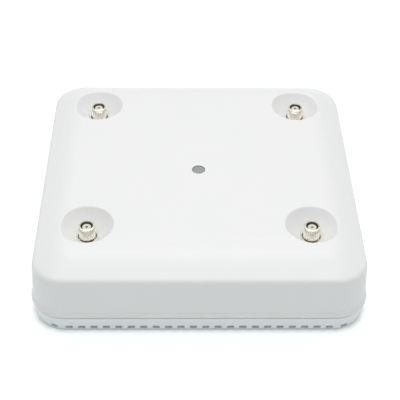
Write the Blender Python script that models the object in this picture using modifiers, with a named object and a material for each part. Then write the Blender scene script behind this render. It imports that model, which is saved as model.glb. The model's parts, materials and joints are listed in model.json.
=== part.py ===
"""Ceiling access point with four threaded antenna jacks, modelled as an assembly.

The object lies on its mounting feet with the room-facing cover up. The origin is the centre of
the footprint on the plane of the feet, +Z points out of the cover, and the cable bay opens to +Y.
Sizes below are millimetres; the helpers turn them into metres.
"""

import math

import bmesh
import bpy
from mathutils import Matrix, Vector

MM = 0.001

# ---- driving dimensions -------------------------------------------------------------------
SIDE = 220.0  # square footprint at the seam
HALF = SIDE / 2
HEIGHT = 51.8  # feet to the flat top of the cover
CORNER_RADIUS = 23.0  # plan radius at the seam
CORNER_TAPER = 0.62  # the plan radius shrinks by this much of the inset
CORNER_STEPS = 5  # facets in each plan corner
WALL = 2.2  # plastic thickness

SEAM_Z = 13.1  # lower edge of the cover
SEAM_GAP = 0.65
BEAD_TOP_Z = 16.8  # top of the two small steps along the cover's lower edge
BEAD_STEP = 0.5
EDGE_Z = 42.6  # where the side wall turns into the shoulder
EDGE_INSET = 2.4  # draft of the side wall up to there
SHOULDER_INSET = 20.5  # where the shoulder reaches the flat top
EDGE_FILLET = 5.0
SHOULDER_FILLET = 25.0

SKIRT_BOTTOM_Z = 0.3
SKIRT_BOTTOM_INSET = 2.1
LIP_TOP_Z = 16.2  # the skirt's lip stands this high inside the cover
FLANGE_TOP_Z = 9.4
FLANGE_HALF = 99.0
VENT_PITCH = 8.05
VENT_COUNT = 22  # on each straight side
VENT_WIDTH = 4.8
VENT_BOTTOM_Z = 1.6
VENT_TOP_Z = 4.4
CORNER_VENT_ANGLES = (20.0, 70.0)
RIB_PITCH = 7.65

JACK_X = 73.75  # antenna jacks, half spacing
JACK_FRONT_Y = -62.6
JACK_REAR_Y = 70.3
DISH_RIM_RADIUS = 17.8
DISH_RIM_SLOPE = math.radians(48)  # fall of the dish at its rim
DISH_FLOOR_RADIUS = 6.9
DISH_FLOOR_Z = 41.2
JACK_HOLE_RADIUS = 6.3
JACK_TOP_Z = 50.4
THREAD_RADIUS = 5.55  # 7/16 inch coupling thread
NOSE_RADIUS = 4.9  # the plain end above the thread
NOSE_HEIGHT = 1.6
BORE_RADIUS = 4.1
BORE_FLOOR_Z = 42.0
JACK_FLANGE_RADIUS = 8.0
JACK_FLANGE_HEIGHT = 2.0
SHANK_RADIUS = 5.2  # the part that passes through the carrier
TAIL_RADIUS = 2.0
TAIL_Z = 29.0  # lower end of the jack, where its lead is crimped on
NUT_HEIGHT = 2.5
INSULATOR_RADIUS = 2.9
INSULATOR_TOP_Z = JACK_TOP_Z - 1.1
PIN_RADIUS = 0.5
PIN_TIP_Z = JACK_TOP_Z - 1.6
PLUG_X = 65.0  # plugs of the antenna leads on the board, half spacing
FRONT_PLUG_Y = -30.0
REAR_PLUG_Y = -12.0

LENS_Y = -6.0  # status light, just forward of the centre
LENS_RADIUS = 4.2
LENS_FLANGE_RADIUS = 6.0

PLATE_HALF = 104.0  # base casting
PLATE_BOTTOM_Z = 4.5
PLATE_TOP_Z = 7.5
SCREW_CORNER = 94.0  # cover screws and their bosses, half spacing

BAY_HALF_X = 64.0  # cable bay, inside faces
BAY_FRONT_Y = 62.0
BAY_BACK_Y = 101.6
BAY_ROOF_Z = 24.0
BAY_WALL = 2.0
CABLE_EXIT_TOP_Z = 11.0
CABLE_EXIT_HALF_X = 58.0

BOSS_TOP_Z = 44.3  # cover bosses end inside the thickness of the shoulder

BOARD_BOTTOM_Z = 22.0
BOARD_TOP_Z = 23.6
BOARD_HALF_X = 88.0
BOARD_FRONT_Y = -88.0
BOARD_BACK_Y = 59.5
POST_X = 77.0  # posts that carry the board and the jack carrier
POST_Y = 30.0

CARRIER_BOTTOM_Z = 34.7
CARRIER_TOP_Z = 36.2
SHEET = 1.5  # carrier sheet thickness
GAP = 0.3  # clearance kept between touching pieces

FOOT_X = 56.0
FOOT_FRONT_Y = -56.0
FOOT_BACK_Y = 42.0

PORT_BOTTOM_Z = 8.6
PORT_TOP_Z = BOARD_BOTTOM_Z - GAP
RJ45_WIDTH = 16.0
RJ45_REAR_Y = 46.0
POE_X, AUX_X, CONSOLE_X = -37.0, -18.0, 1.0
DC_X = -55.0
DC_WIDTH = 9.0
DC_BOTTOM_Z = 10.7
USB_X = 20.0
USB_WIDTH = 13.1
USB_BOTTOM_Z = 15.9
SMALL_PORT_REAR_Y = 48.0
BUTTON_X = 36.0
BUTTON_Z = 16.0
BUTTON_TRAVEL = 1.0
BUTTON_TIP_Y = BAY_FRONT_Y + 1.2
BUTTON_STEM_Y = 56.4  # inner end of the button's stem

CORNERS = {  # name of each corner and the signs of its x and y
    "front_left": (-1, -1),
    "front_right": (1, -1),
    "rear_left": (-1, 1),
    "rear_right": (1, 1),
}
JACKS = {  # centre of each antenna jack
    name: (sign_x * JACK_X, JACK_FRONT_Y if sign_y < 0 else JACK_REAR_Y)
    for name, (sign_x, sign_y) in CORNERS.items()
}

# ---- scene, collections and materials --------------------------------------------------------
for old in list(bpy.data.objects):
    bpy.data.objects.remove(old)

parts = bpy.data.collections.new("ceiling_access_point")
cutters = bpy.data.collections.new("cutters")
bpy.context.scene.collection.children.link(parts)
bpy.context.scene.collection.children.link(cutters)

FINISHES = {  # colour, roughness, metallic
    "cover_plastic": ((0.86, 0.87, 0.87), 0.45, 0.0),
    "skirt_plastic": ((0.80, 0.82, 0.83), 0.5, 0.0),
    "cast_metal": ((0.62, 0.63, 0.64), 0.5, 0.6),
    "nickel": ((0.78, 0.75, 0.68), 0.25, 1.0),
    "gold": ((0.85, 0.65, 0.3), 0.25, 1.0),
    "ptfe": ((0.9, 0.9, 0.87), 0.4, 0.0),
    "lens": ((0.45, 0.46, 0.47), 0.2, 0.0),
    "board": ((0.05, 0.25, 0.12), 0.4, 0.0),
    "tinplate": ((0.7, 0.7, 0.7), 0.3, 1.0),
    "black_plastic": ((0.03, 0.03, 0.03), 0.5, 0.0),
    "coax_jacket": ((0.12, 0.12, 0.13), 0.5, 0.0),
    "thermal_pad": ((0.35, 0.4, 0.5), 0.8, 0.0),
    "steel": ((0.6, 0.6, 0.62), 0.3, 1.0),
    "label": ((0.75, 0.76, 0.78), 0.5, 0.0),
    "button_plastic": ((0.5, 0.52, 0.55), 0.5, 0.0),
}


def finish(name):
    """The Principled material of that name, made once."""
    made = bpy.data.materials.get(name)
    if made is None:
        colour, roughness, metallic = FINISHES[name]
        made = bpy.data.materials.new(name)
        made.use_nodes = True
        shader = made.node_tree.nodes["Principled BSDF"]
        shader.inputs["Base Color"].default_value = (*colour, 1.0)
        shader.inputs["Roughness"].default_value = roughness
        shader.inputs["Metallic"].default_value = metallic
    return made


# ---- building helpers -------------------------------------------------------------------------
def place(name, mesh, finish_name, origin=(0, 0, 0)):
    """A part of the object, its mesh in its own frame and its origin at the given point."""
    made = bpy.data.objects.new(name, mesh)
    made.location = Vector(origin) * MM
    parts.objects.link(made)
    mesh.materials.append(finish(finish_name))
    mesh.shade_smooth()
    mesh.set_sharp_from_angle(angle=math.radians(30))
    return made


def tool(name, mesh, origin=(0, 0, 0)):
    """A helper solid for a Boolean, left out of the object."""
    made = bpy.data.objects.new(name, mesh)
    made.location = Vector(origin) * MM
    made.hide_render = True
    made.display_type = "WIRE"
    cutters.objects.link(made)
    return made


def mesh_of(bm, name):
    """Closes a bmesh into a mesh with its faces pointing out."""
    bmesh.ops.recalc_face_normals(bm, faces=bm.faces)
    mesh = bpy.data.meshes.new(name)
    bm.to_mesh(mesh)
    bm.free()
    return mesh


def add_box(bm, low, high):
    """Adds the box between two corners, in millimetres."""
    low, high = Vector(low) * MM, Vector(high) * MM
    size = Matrix.Diagonal((*(high - low), 1.0))
    bmesh.ops.create_cube(bm, size=1.0, matrix=Matrix.Translation((low + high) / 2) @ size)


def boxes(name, corners):
    """A mesh of separate boxes, one for each pair of corners."""
    bm = bmesh.new()
    for low, high in corners:
        add_box(bm, low, high)
    return mesh_of(bm, name)


def add_rod(bm, radius, low_z, high_z, x=0.0, y=0.0, sides=24, top_radius=None):
    """Adds an upright cylinder, or a cone when the top radius differs."""
    centre = Matrix.Translation(Vector((x, y, (low_z + high_z) / 2)) * MM)
    end = radius if top_radius is None else top_radius
    bmesh.ops.create_cone(
        bm,
        cap_ends=True,
        segments=sides,
        radius1=radius * MM,
        radius2=end * MM,
        depth=(high_z - low_z) * MM,
        matrix=centre,
    )


def rods(name, rows, sides=24):
    """A mesh of separate upright cylinders, one for each (radius, low z, high z, x, y)."""
    bm = bmesh.new()
    for row in rows:
        add_rod(bm, *row, sides=sides)
    return mesh_of(bm, name)


def rounded_block(name, low, high, corner, steps=3):
    """A box with its upright edges rounded."""
    bm = bmesh.new()
    add_box(bm, low, high)
    upright = [e for e in bm.edges if abs(e.verts[0].co.z - e.verts[1].co.z) > 1e-6]
    bmesh.ops.bevel(
        bm, geom=upright, offset=corner * MM, segments=steps, profile=0.5, affect="EDGES"
    )
    return mesh_of(bm, name)


def turned(made, profile, sides=24):
    """Gives an object a profile of (radius, z) and a Screw modifier that turns it about z."""
    bm = bmesh.new()
    line = [bm.verts.new(Vector((radius, 0, z)) * MM) for radius, z in profile]
    ends = list(zip(line, line[1:]))
    if profile[0][0] > 0:
        ends.append((line[-1], line[0]))
    for pair in ends:
        bm.edges.new(pair)
    bm.to_mesh(made.data)
    bm.free()
    screw = made.modifiers.new("turn", "SCREW")
    screw.axis = "Z"
    screw.angle = math.tau
    screw.steps = screw.render_steps = sides
    screw.use_merge_vertices = True
    screw.merge_threshold = 1e-6
    return made


def turned_part(name, finish_name, profile, origin=(0, 0, 0), sides=24):
    """A turned part. The profile runs from top to bottom down its outer side."""
    made = place(name, bpy.data.meshes.new(name), finish_name, origin)
    turned(made, profile, sides)
    made.data.shade_smooth()
    return made


def boolean(target, other, operation="DIFFERENCE"):
    """Cuts or joins with the EXACT solver."""
    modifier = target.modifiers.new(other.name, "BOOLEAN")
    modifier.operation = operation
    modifier.object = other
    modifier.solver = "EXACT"


def rounded_loop(bm, half, radius, z):
    """Adds the points of one square loop with round corners, counterclockwise from above."""
    centre = half - radius
    verts = []
    for quarter in range(4):
        sign_x = (1, -1, -1, 1)[quarter]
        sign_y = (1, 1, -1, -1)[quarter]
        for step in range(CORNER_STEPS + 1):
            angle = math.radians(90 * quarter + 90 * step / CORNER_STEPS)
            x = sign_x * centre + radius * math.cos(angle)
            y = sign_y * centre + radius * math.sin(angle)
            verts.append(bm.verts.new(Vector((x, y, z)) * MM))
    return verts


def loft(name, rings, closed):
    """A loft through square loops of (half side, corner radius, z), going up its outer side.

    When closed, the last loop joins the first and the result is a hoop; otherwise both ends are
    capped.
    """
    bm = bmesh.new()
    loops = [rounded_loop(bm, *ring) for ring in rings]
    following = loops[1:] + (loops[:1] if closed else [])
    for lower, upper in zip(loops, following):
        corners = zip(lower, lower[1:] + lower[:1], upper[1:] + upper[:1], upper)
        for quad in corners:
            bm.faces.new(quad)
    if not closed:
        bm.faces.new(reversed(loops[0]))
        bm.faces.new(loops[-1])
    mesh = bpy.data.meshes.new(name)
    bm.to_mesh(mesh)
    bm.free()
    return mesh


def filleted(points, fillets, steps):
    """A section line with an arc of the given radius at each inner corner that has one."""
    line = [points[0]]
    for before, corner, after, radius in zip(points, points[1:], points[2:], fillets):
        if not radius:
            line.append(corner)
            continue
        corner_at = Vector(corner)
        into = (Vector(before) - corner_at).normalized()
        out = (Vector(after) - corner_at).normalized()
        half_angle = into.angle(out) / 2
        reach = radius / math.tan(half_angle)
        middle = corner_at + (into + out).normalized() * radius / math.sin(half_angle)
        start = corner_at + into * reach - middle
        turn = start.angle_signed(corner_at + out * reach - middle)
        for step in range(steps + 1):
            spoke = start.copy()
            spoke.rotate(Matrix.Rotation(-turn * step / steps, 2))
            line.append(tuple(middle + spoke))
    line.append(points[-1])
    return line


def ring_of(inset, z):
    """The square loop of the body at an inset from its widest outline."""
    return HALF - inset, CORNER_RADIUS - inset * CORNER_TAPER, z


# ---- cover -----------------------------------------------------------------------------------
def cover_section(steps):
    """The cover's outer section as (inset, z): two small steps, the wall and the shoulder."""
    points = [
        (0.3, SEAM_Z),
        (0.0, SEAM_Z + 0.3),
        (0.0, SEAM_Z + 1.0),
        (BEAD_STEP, SEAM_Z + 1.3),
        (BEAD_STEP + 0.1, BEAD_TOP_Z - 0.3),
        (2 * BEAD_STEP, BEAD_TOP_Z),
        (EDGE_INSET, EDGE_Z),
        (SHOULDER_INSET, HEIGHT),
        (SHOULDER_INSET + 12.0, HEIGHT),
    ]
    return filleted(points, [0, 0, 0, 0, 0, EDGE_FILLET, SHOULDER_FILLET], steps)


def cavity_section(steps):
    """The section of the space inside the cover, one wall thickness in."""
    points = [
        (WALL + 0.2, SEAM_Z - 3.0),
        (WALL + 0.3, LIP_TOP_Z + 0.5),
        (WALL + 2 * BEAD_STEP, LIP_TOP_Z + 2.0),
        (WALL + EDGE_INSET, EDGE_Z - WALL * 0.6),
        (SHOULDER_INSET + WALL * 0.3, HEIGHT - WALL),
        (SHOULDER_INSET + 12.0, HEIGHT - WALL),
    ]
    return filleted(points, [0, 0, EDGE_FILLET - WALL, SHOULDER_FILLET + WALL], steps)


def dish_line(offset, steps=3):
    """The antenna dish from its rim down to its floor, as an arc of (radius, z).

    A positive offset gives the line that lies that far behind the dish's surface.
    """
    across = DISH_RIM_RADIUS - DISH_FLOOR_RADIUS
    down = HEIGHT - DISH_FLOOR_Z
    sweep = 2 * (DISH_RIM_SLOPE - math.atan2(down, across))
    bend = math.hypot(across, down) / 2 / math.sin(sweep / 2)
    centre_radius = DISH_RIM_RADIUS - bend * math.sin(DISH_RIM_SLOPE)
    centre_z = HEIGHT + bend * math.cos(DISH_RIM_SLOPE)
    reach = bend + offset
    slopes = [DISH_RIM_SLOPE - sweep * step / steps for step in range(steps + 1)]
    return [(centre_radius + reach * math.sin(s), centre_z - reach * math.cos(s)) for s in slopes]


def under_dish():
    """The outline of the solid that keeps the cover one wall thick under a dish."""
    line = dish_line(WALL)
    top = HEIGHT + 2.0
    floor = DISH_FLOOR_Z - WALL
    return [(0, top), (line[0][0], top), *line, (DISH_FLOOR_RADIUS, floor), (0, floor)]


def dish_and_hole():
    """The outline of the space of a dish and of the hole for its jack."""
    top, bottom = HEIGHT + 3.0, DISH_FLOOR_Z - 5.0
    hole = [(JACK_HOLE_RADIUS, DISH_FLOOR_Z), (JACK_HOLE_RADIUS, bottom), (0, bottom)]
    return [(0, top), (DISH_RIM_RADIUS, top), *dish_line(0.0), *hole]


def make_cover():
    outer = [ring_of(inset, z) for inset, z in cover_section(3)]
    inner = [ring_of(inset, z) for inset, z in cavity_section(1)]
    cover = place("top_cover", loft("top_cover", outer, False), "cover_plastic")
    cavity = tool("cover_cavity", loft("cover_cavity", inner, False))
    for name, (x, y) in JACKS.items():
        bowl = tool("bowl_" + name, bpy.data.meshes.new("bowl"), (x, y, 0))
        boolean(cavity, turned(bowl, under_dish(), 20))
    boolean(cover, cavity)
    screws = [(sx * SCREW_CORNER, sy * SCREW_CORNER) for sx, sy in CORNERS.values()]
    bosses = [(4.0, PLATE_TOP_Z + GAP, BOSS_TOP_Z, x, y) for x, y in screws]
    boolean(cover, tool("cover_bosses", rods("cover_bosses", bosses, 12)), "UNION")
    for name, (x, y) in JACKS.items():
        dish = tool("dish_" + name, bpy.data.meshes.new("dish"), (x, y, 0))
        boolean(cover, turned(dish, dish_and_hole(), 20))
    holes = [(1.2, PLATE_TOP_Z - 1, 24.0, x, y) for x, y in screws]
    holes.append((LENS_RADIUS + GAP, HEIGHT - 6, HEIGHT + 3, 0, LENS_Y))
    boolean(cover, tool("cover_holes", rods("cover_holes", holes, 16)))


# ---- vented skirt ------------------------------------------------------------------------------
def make_skirt():
    top = SEAM_Z - SEAM_GAP
    lip_inset = WALL + 3 * GAP
    outside = [
        (SKIRT_BOTTOM_INSET, SKIRT_BOTTOM_Z),
        (1.5, 5.0),
        (0.4, top - 0.5),
        (0.8, top),
        (lip_inset, top),
        (lip_inset, LIP_TOP_Z),
        (lip_inset + 1.3, LIP_TOP_Z),
        (lip_inset + 1.5, FLANGE_TOP_Z),
    ]
    inside = [(4.8, PLATE_TOP_Z + GAP), (4.8, SKIRT_BOTTOM_Z)]
    rings = [ring_of(inset, z) for inset, z in outside]
    rings += [(FLANGE_HALF, 36.0, FLANGE_TOP_Z), (FLANGE_HALF, 36.0, PLATE_TOP_Z + GAP)]
    rings += [ring_of(inset, z) for inset, z in inside]
    skirt = place("lower_housing", loft("lower_housing", rings, True), "skirt_plastic")
    boolean(skirt, tool("vent_slots", vent_slots()))
    exits = [
        ((-CABLE_EXIT_HALF_X, 95, 0), (CABLE_EXIT_HALF_X, 112, CABLE_EXIT_TOP_Z)),
        ((-68, 90, PLATE_TOP_Z - 1), (68, 104.6, 11.5)),
    ]
    for number, corners in enumerate(exits):
        boolean(skirt, tool(f"cable_exit_{number}", boxes("cable_exit", [corners])))
    holes = [(4.6, 7.0, 11.0, sx * SCREW_CORNER, sy * SCREW_CORNER) for sx, sy in CORNERS.values()]
    boolean(skirt, tool("flange_holes", rods("flange_holes", holes, 12)))


def vent_slots():
    """Boxes through the skirt's lower edge, evenly along the sides and round the corners."""
    bm = bmesh.new()
    reach = (HALF - 8.0, HALF + 1.0)
    for side in range(4):
        turn = Matrix.Rotation(math.pi / 2 * side, 4, "Z")
        faces_back = side == 2
        for number in range(VENT_COUNT):
            x = (number - (VENT_COUNT - 1) / 2) * VENT_PITCH
            if faces_back and abs(x) < CABLE_EXIT_HALF_X + 5:
                continue
            add_slot(bm, turn @ Matrix.Translation((x * MM, 0, 0)), reach)
        centre = Matrix.Translation(Vector((HALF - CORNER_RADIUS, CORNER_RADIUS - HALF, 0)) * MM)
        for angle in CORNER_VENT_ANGLES:
            swing = Matrix.Rotation(math.radians(angle), 4, "Z")
            add_slot(bm, turn @ centre @ swing, (CORNER_RADIUS - 8.0, CORNER_RADIUS + 1.0))
    return mesh_of(bm, "vent_slots")


def add_slot(bm, matrix, reach):
    """Adds one slot box that runs along -Y of the given frame, from the near to the far reach."""
    before = set(bm.verts)
    near, far = reach
    half = VENT_WIDTH / 2
    add_box(bm, (-half, -far, VENT_BOTTOM_Z), (half, -near, VENT_TOP_Z))
    bmesh.ops.transform(bm, matrix=matrix, verts=[v for v in bm.verts if v not in before])


# ---- base casting ------------------------------------------------------------------------------
def make_base():
    rings = [
        (PLATE_HALF, 19.0, PLATE_BOTTOM_Z),
        (PLATE_HALF, 19.0, PLATE_TOP_Z),
    ]
    base = place("base_casting", loft("base_casting", rings, False), "cast_metal")
    wall_x, front = BAY_HALF_X + BAY_WALL, BAY_FRONT_Y - BAY_WALL
    back = BAY_BACK_Y + BAY_WALL
    bay = boxes("bay_block", [((-wall_x, front, 5.0), (wall_x, back, BAY_ROOF_Z + BAY_WALL))])
    boolean(base, tool("bay_block", bay), "UNION")
    raised = [((-16, -42, 6), (16, -12, 17.1))]
    boolean(base, tool("pedestal", boxes("pedestal", raised)), "UNION")
    posts = [(4.0, 6.0, BOARD_BOTTOM_Z - GAP, sx * POST_X, sy * POST_Y) for sx, sy in CORNERS.values()]
    boolean(base, tool("board_posts", rods("board_posts", posts, 12)), "UNION")
    boolean(base, tool("cooling_ribs", cooling_ribs()), "UNION")
    hollow = [
        ((-BAY_HALF_X, BAY_FRONT_Y, 3.0), (BAY_HALF_X, BAY_BACK_Y, BAY_ROOF_Z)),
    ]
    boolean(base, tool("bay_hollow", boxes("bay_hollow", hollow)))
    way_out = [((-BAY_HALF_X, BAY_BACK_Y - 1, 3.0), (BAY_HALF_X, 106.0, CABLE_EXIT_TOP_Z))]
    boolean(base, tool("bay_way_out", boxes("bay_way_out", way_out)))
    boolean(base, tool("port_windows", port_windows()))
    boolean(base, tool("button_window", button_window()))
    holes = [(1.2, 12.0, 24.0, sx * POST_X, sy * POST_Y) for sx, sy in CORNERS.values()]
    holes += [(2.3, 4.0, 6.8, x, y) for x, y in foot_places().values()]
    for sx, sy in CORNERS.values():
        holes.append((1.9, 4.0, 8.0, sx * SCREW_CORNER, sy * SCREW_CORNER))
    boolean(base, tool("base_holes", rods("base_holes", holes, 12)))
    sinks = [(3.6, 4.0, 6.0, sx * SCREW_CORNER, sy * SCREW_CORNER) for sx, sy in CORNERS.values()]
    boolean(base, tool("screw_sinks", rods("screw_sinks", sinks, 12)))


def cooling_ribs():
    """Ribs under the plate, along its front edge and its two sides."""
    bm = bmesh.new()
    low, high, half = 1.8, 5.0, 0.8
    inner, outer = 74.0, 98.0
    for number in range(-10, 10):
        x = (number + 0.5) * RIB_PITCH
        add_box(bm, (x - half, -outer, low), (x + half, -inner, high))
    for number in range(-7, 6):
        y = (number + 0.5) * RIB_PITCH
        for sign in (-1, 1):
            near, far = sorted((sign * inner, sign * outer))
            add_box(bm, (near, y - half, low), (far, y + half, high))
    return mesh_of(bm, "cooling_ribs")


def port_windows():
    """Openings in the bay's front wall, one gap wider than each socket all round."""
    front, back = BAY_FRONT_Y - BAY_WALL - 1, BAY_FRONT_Y + 1
    rows = [(x, RJ45_WIDTH, PORT_BOTTOM_Z, PORT_TOP_Z) for x in (POE_X, AUX_X, CONSOLE_X)]
    rows.append((DC_X, DC_WIDTH, DC_BOTTOM_Z, PORT_TOP_Z))
    rows.append((USB_X, USB_WIDTH, USB_BOTTOM_Z, PORT_TOP_Z))
    corners = [
        (
            (x - width / 2 - GAP, front, low - GAP),
            (x + width / 2 + GAP, back, high + GAP),
        )
        for x, width, low, high in rows
    ]
    return boxes("port_windows", corners)


def button_window():
    """The round hole for the mode button, lying along y."""
    bm = bmesh.new()
    add_rod(bm, 2.1, -4, 4, sides=16)
    turn = Matrix.Rotation(math.pi / 2, 4, "X")
    move = Matrix.Translation(Vector((BUTTON_X, BAY_FRONT_Y - 1, BUTTON_Z)) * MM)
    bmesh.ops.transform(bm, matrix=move @ turn, verts=bm.verts)
    return mesh_of(bm, "button_window")


def foot_places():
    """Centres of the four mounting feet."""
    return {
        name: (sx * FOOT_X, FOOT_FRONT_Y if sy < 0 else FOOT_BACK_Y)
        for name, (sx, sy) in CORNERS.items()
    }


# ---- antenna jacks and their leads -----------------------------------------------------------
def make_jack(name, x, y):
    """One bulkhead jack: shell, insulator, centre pin and rear nut."""
    seat = CARRIER_TOP_Z + GAP
    nut_top = CARRIER_BOTTOM_Z - GAP
    nut_bottom = nut_top - NUT_HEIGHT
    shell = [
        (BORE_RADIUS, JACK_TOP_Z),
        (NOSE_RADIUS - 0.2, JACK_TOP_Z),
        (NOSE_RADIUS, JACK_TOP_Z - 0.3),
        (NOSE_RADIUS, JACK_TOP_Z - NOSE_HEIGHT),
        (THREAD_RADIUS, JACK_TOP_Z - NOSE_HEIGHT - 0.5),
        (THREAD_RADIUS, seat + JACK_FLANGE_HEIGHT),
        (JACK_FLANGE_RADIUS, seat + JACK_FLANGE_HEIGHT),
        (JACK_FLANGE_RADIUS, seat),
        (SHANK_RADIUS, seat),
        (SHANK_RADIUS, nut_bottom - 0.5),
        (TAIL_RADIUS, nut_bottom - 0.5),
        (TAIL_RADIUS, TAIL_Z),
        (2 * PIN_RADIUS, TAIL_Z),
        (2 * PIN_RADIUS, BORE_FLOOR_Z),
        (BORE_RADIUS, BORE_FLOOR_Z),
    ]
    turned_part("antenna_jack_" + name, "nickel", shell, (x, y, 0), 16)
    low = BORE_FLOOR_Z + GAP
    insulator = [
        (1.2, INSULATOR_TOP_Z),
        (INSULATOR_RADIUS, INSULATOR_TOP_Z),
        (INSULATOR_RADIUS, low),
        (PIN_RADIUS + GAP, low),
        (PIN_RADIUS + GAP, low + 1.5),
        (1.2, low + 3.0),
    ]
    turned_part("jack_insulator_" + name, "ptfe", insulator, (x, y, 0), 12)
    pin = [
        (0, PIN_TIP_Z),
        (PIN_RADIUS * 0.7, PIN_TIP_Z - 0.1),
        (PIN_RADIUS, PIN_TIP_Z - 0.7),
        (PIN_RADIUS, TAIL_Z + 1),
        (0, TAIL_Z + 1),
    ]
    turned_part("jack_pin_" + name, "gold", pin, (x, y, 0), 8)
    hexagon = rods("jack_nut", [(JACK_FLANGE_RADIUS, nut_bottom, nut_top, 0, 0)], 6)
    nut = place("jack_nut_" + name, hexagon, "nickel", (x, y, 0))
    bore = rods("nut_bore", [(SHANK_RADIUS + 0.4, nut_bottom - 2, nut_top + 2, 0, 0)], 18)
    boolean(nut, tool("nut_bore_" + name, bore, (x, y, 0)))


def smooth_points(knots, count):
    """Points read at even steps from a Catmull-Rom curve through the given knots."""
    padded = [2 * knots[0] - knots[1], *knots, 2 * knots[-1] - knots[-2]]
    spans = len(knots) - 1
    found = []
    for number in range(count + 1):
        at = min(number * spans / count, spans - 1e-9)
        span, t = int(at), at - int(at)
        a, b, c, d = padded[span : span + 4]
        square = 2 * a - 5 * b + 4 * c - d
        cube = 3 * b - a - 3 * c + d
        found.append(b + 0.5 * ((c - a) * t + square * t**2 + cube * t**3))
    return found


def make_lead(name, jack_x, jack_y, plug_y):
    """The thin coaxial lead from a jack's tail down to its plug on the board."""
    sign_x = math.copysign(1.0, jack_x)
    plug_x = sign_x * PLUG_X
    toward = math.copysign(1.0, plug_y - jack_y)
    plug_top = BOARD_TOP_Z + 2.6
    knots = [
        Vector((jack_x, jack_y, TAIL_Z - GAP)),
        Vector((jack_x - sign_x * 0.4, jack_y + toward * 0.6, TAIL_Z - 1.4)),
        Vector((jack_x - sign_x * 2.6, jack_y + toward * 3.8, 26.8)),
        Vector((jack_x - sign_x * 7.5, jack_y + toward * 11.0, 27.3)),
        Vector((plug_x, (jack_y + toward * 11.0 + plug_y) / 2, 28.2)),
        Vector((plug_x, plug_y - toward * 6.0, plug_top + 2.6)),
        Vector((plug_x, plug_y - toward * 1.2, plug_top + 2.2)),
        Vector((plug_x, plug_y, plug_top + GAP)),
    ]
    curve = bpy.data.curves.new("coax_lead_" + name, "CURVE")
    curve.dimensions = "3D"
    curve.bevel_depth = 0.7 * MM
    curve.bevel_resolution = 1
    curve.use_fill_caps = True
    spline = curve.splines.new("POLY")
    points = smooth_points(knots, 20)
    spline.points.add(len(points) - 1)
    for point, at in zip(spline.points, points):
        point.co = (*(at * MM), 1.0)
    curve.materials.append(finish("coax_jacket"))
    parts.objects.link(bpy.data.objects.new("coax_lead_" + name, curve))
    plug_low = BOARD_TOP_Z + GAP
    plug = [(0, plug_top), (1.2, plug_top), (1.6, plug_top - 0.5), (1.6, plug_low), (0, plug_low)]
    turned_part("coax_plug_" + name, "gold", plug, (plug_x, plug_y, 0), 12)


# ---- sheet-metal jack carrier ----------------------------------------------------------------
def make_carrier():
    plate = rounded_block(
        "jack_carrier", (-84, -76, CARRIER_BOTTOM_Z), (84, 79, CARRIER_TOP_Z), 6.0
    )
    carrier = place("jack_carrier", plate, "tinplate")
    for name, (sx, sy) in CORNERS.items():
        outer, inner = 84.0 * sx, (84.0 - SHEET) * sx
        y_low, y_high = sy * POST_Y - 6, sy * POST_Y + 6
        foot_low, foot_high = BOARD_TOP_Z + GAP, BOARD_TOP_Z + GAP + SHEET
        x_low, x_high = sorted((inner, outer))
        leg = boxes("leg", [((x_low, y_low, foot_low), (x_high, y_high, CARRIER_TOP_Z - 0.5))])
        boolean(carrier, tool("leg_" + name, leg), "UNION")
        x_low, x_high = sorted((72.0 * sx, outer - sx * 0.4))
        foot = boxes("leg_foot", [((x_low, y_low, foot_low), (x_high, y_high, foot_high))])
        boolean(carrier, tool("leg_foot_" + name, foot), "UNION")
    middle = rounded_block("carrier_window", (-56, -48, 30), (56, 50, 45), 6.0)
    boolean(carrier, tool("carrier_window", middle))
    holes = [(SHANK_RADIUS + 0.4, 32, 42, x, y) for x, y in JACKS.values()]
    holes += [(1.9, 22, 28, sx * POST_X, sy * POST_Y) for sx, sy in CORNERS.values()]
    boolean(carrier, tool("carrier_holes", rods("carrier_holes", holes, 16)))


# ---- circuit board and what is on it ------------------------------------------------------------
def make_board():
    low, high = BOARD_BOTTOM_Z, BOARD_TOP_Z
    sheet = rounded_block(
        "main_board", (-BOARD_HALF_X, BOARD_FRONT_Y, low), (BOARD_HALF_X, BOARD_BACK_Y, high), 4.0
    )
    board = place("main_board", sheet, "board")
    holes = [(1.9, low - 2, high + 2, sx * POST_X, sy * POST_Y) for sx, sy in CORNERS.values()]
    boolean(board, tool("board_holes", rods("board_holes", holes, 12)))
    top, under = high + GAP, low - GAP
    for name, sign in (("left", -1), ("right", 1)):
        x_low, x_high = sorted((sign * 14.0, sign * 60.0))
        can = rounded_block("radio_shield", (x_low, -70, top), (x_high, -20, top + 5.0), 2.0)
        place("radio_shield_" + name, can, "tinplate")
    place("processor", boxes("processor", [((-13, -39, 19.2), (13, -15, under))]), "black_plastic")
    pad = boxes("processor_pad", [((-12, -38, 17.4), (12, -16, 18.9))])
    place("processor_pad", pad, "thermal_pad")
    place("memory_chip", boxes("memory_chip", [((-7, 12, top), (7, 22, top + 1.2))]), "black_plastic")
    coil = rounded_block("power_inductor", (-52, 22, top), (-40, 34, top + 6.0), 2.0)
    place("power_inductor", coil, "black_plastic")
    capacitor = rods("power_capacitor", [(4.0, 0, 9.0, 0, 0)], 20)
    place("power_capacitor", capacitor, "tinplate", (-30, 28, top))
    magnetics = rounded_block("ethernet_magnetics", (-45, 27, under - 6.0), (-11, 42, under), 1.0)
    place("ethernet_magnetics", magnetics, "black_plastic")
    led = rounded_block("status_led", (-1.6, LENS_Y - 1.6, top), (1.6, LENS_Y + 1.6, top + 1.4), 0.4)
    place("status_led", led, "ptfe")


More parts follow.
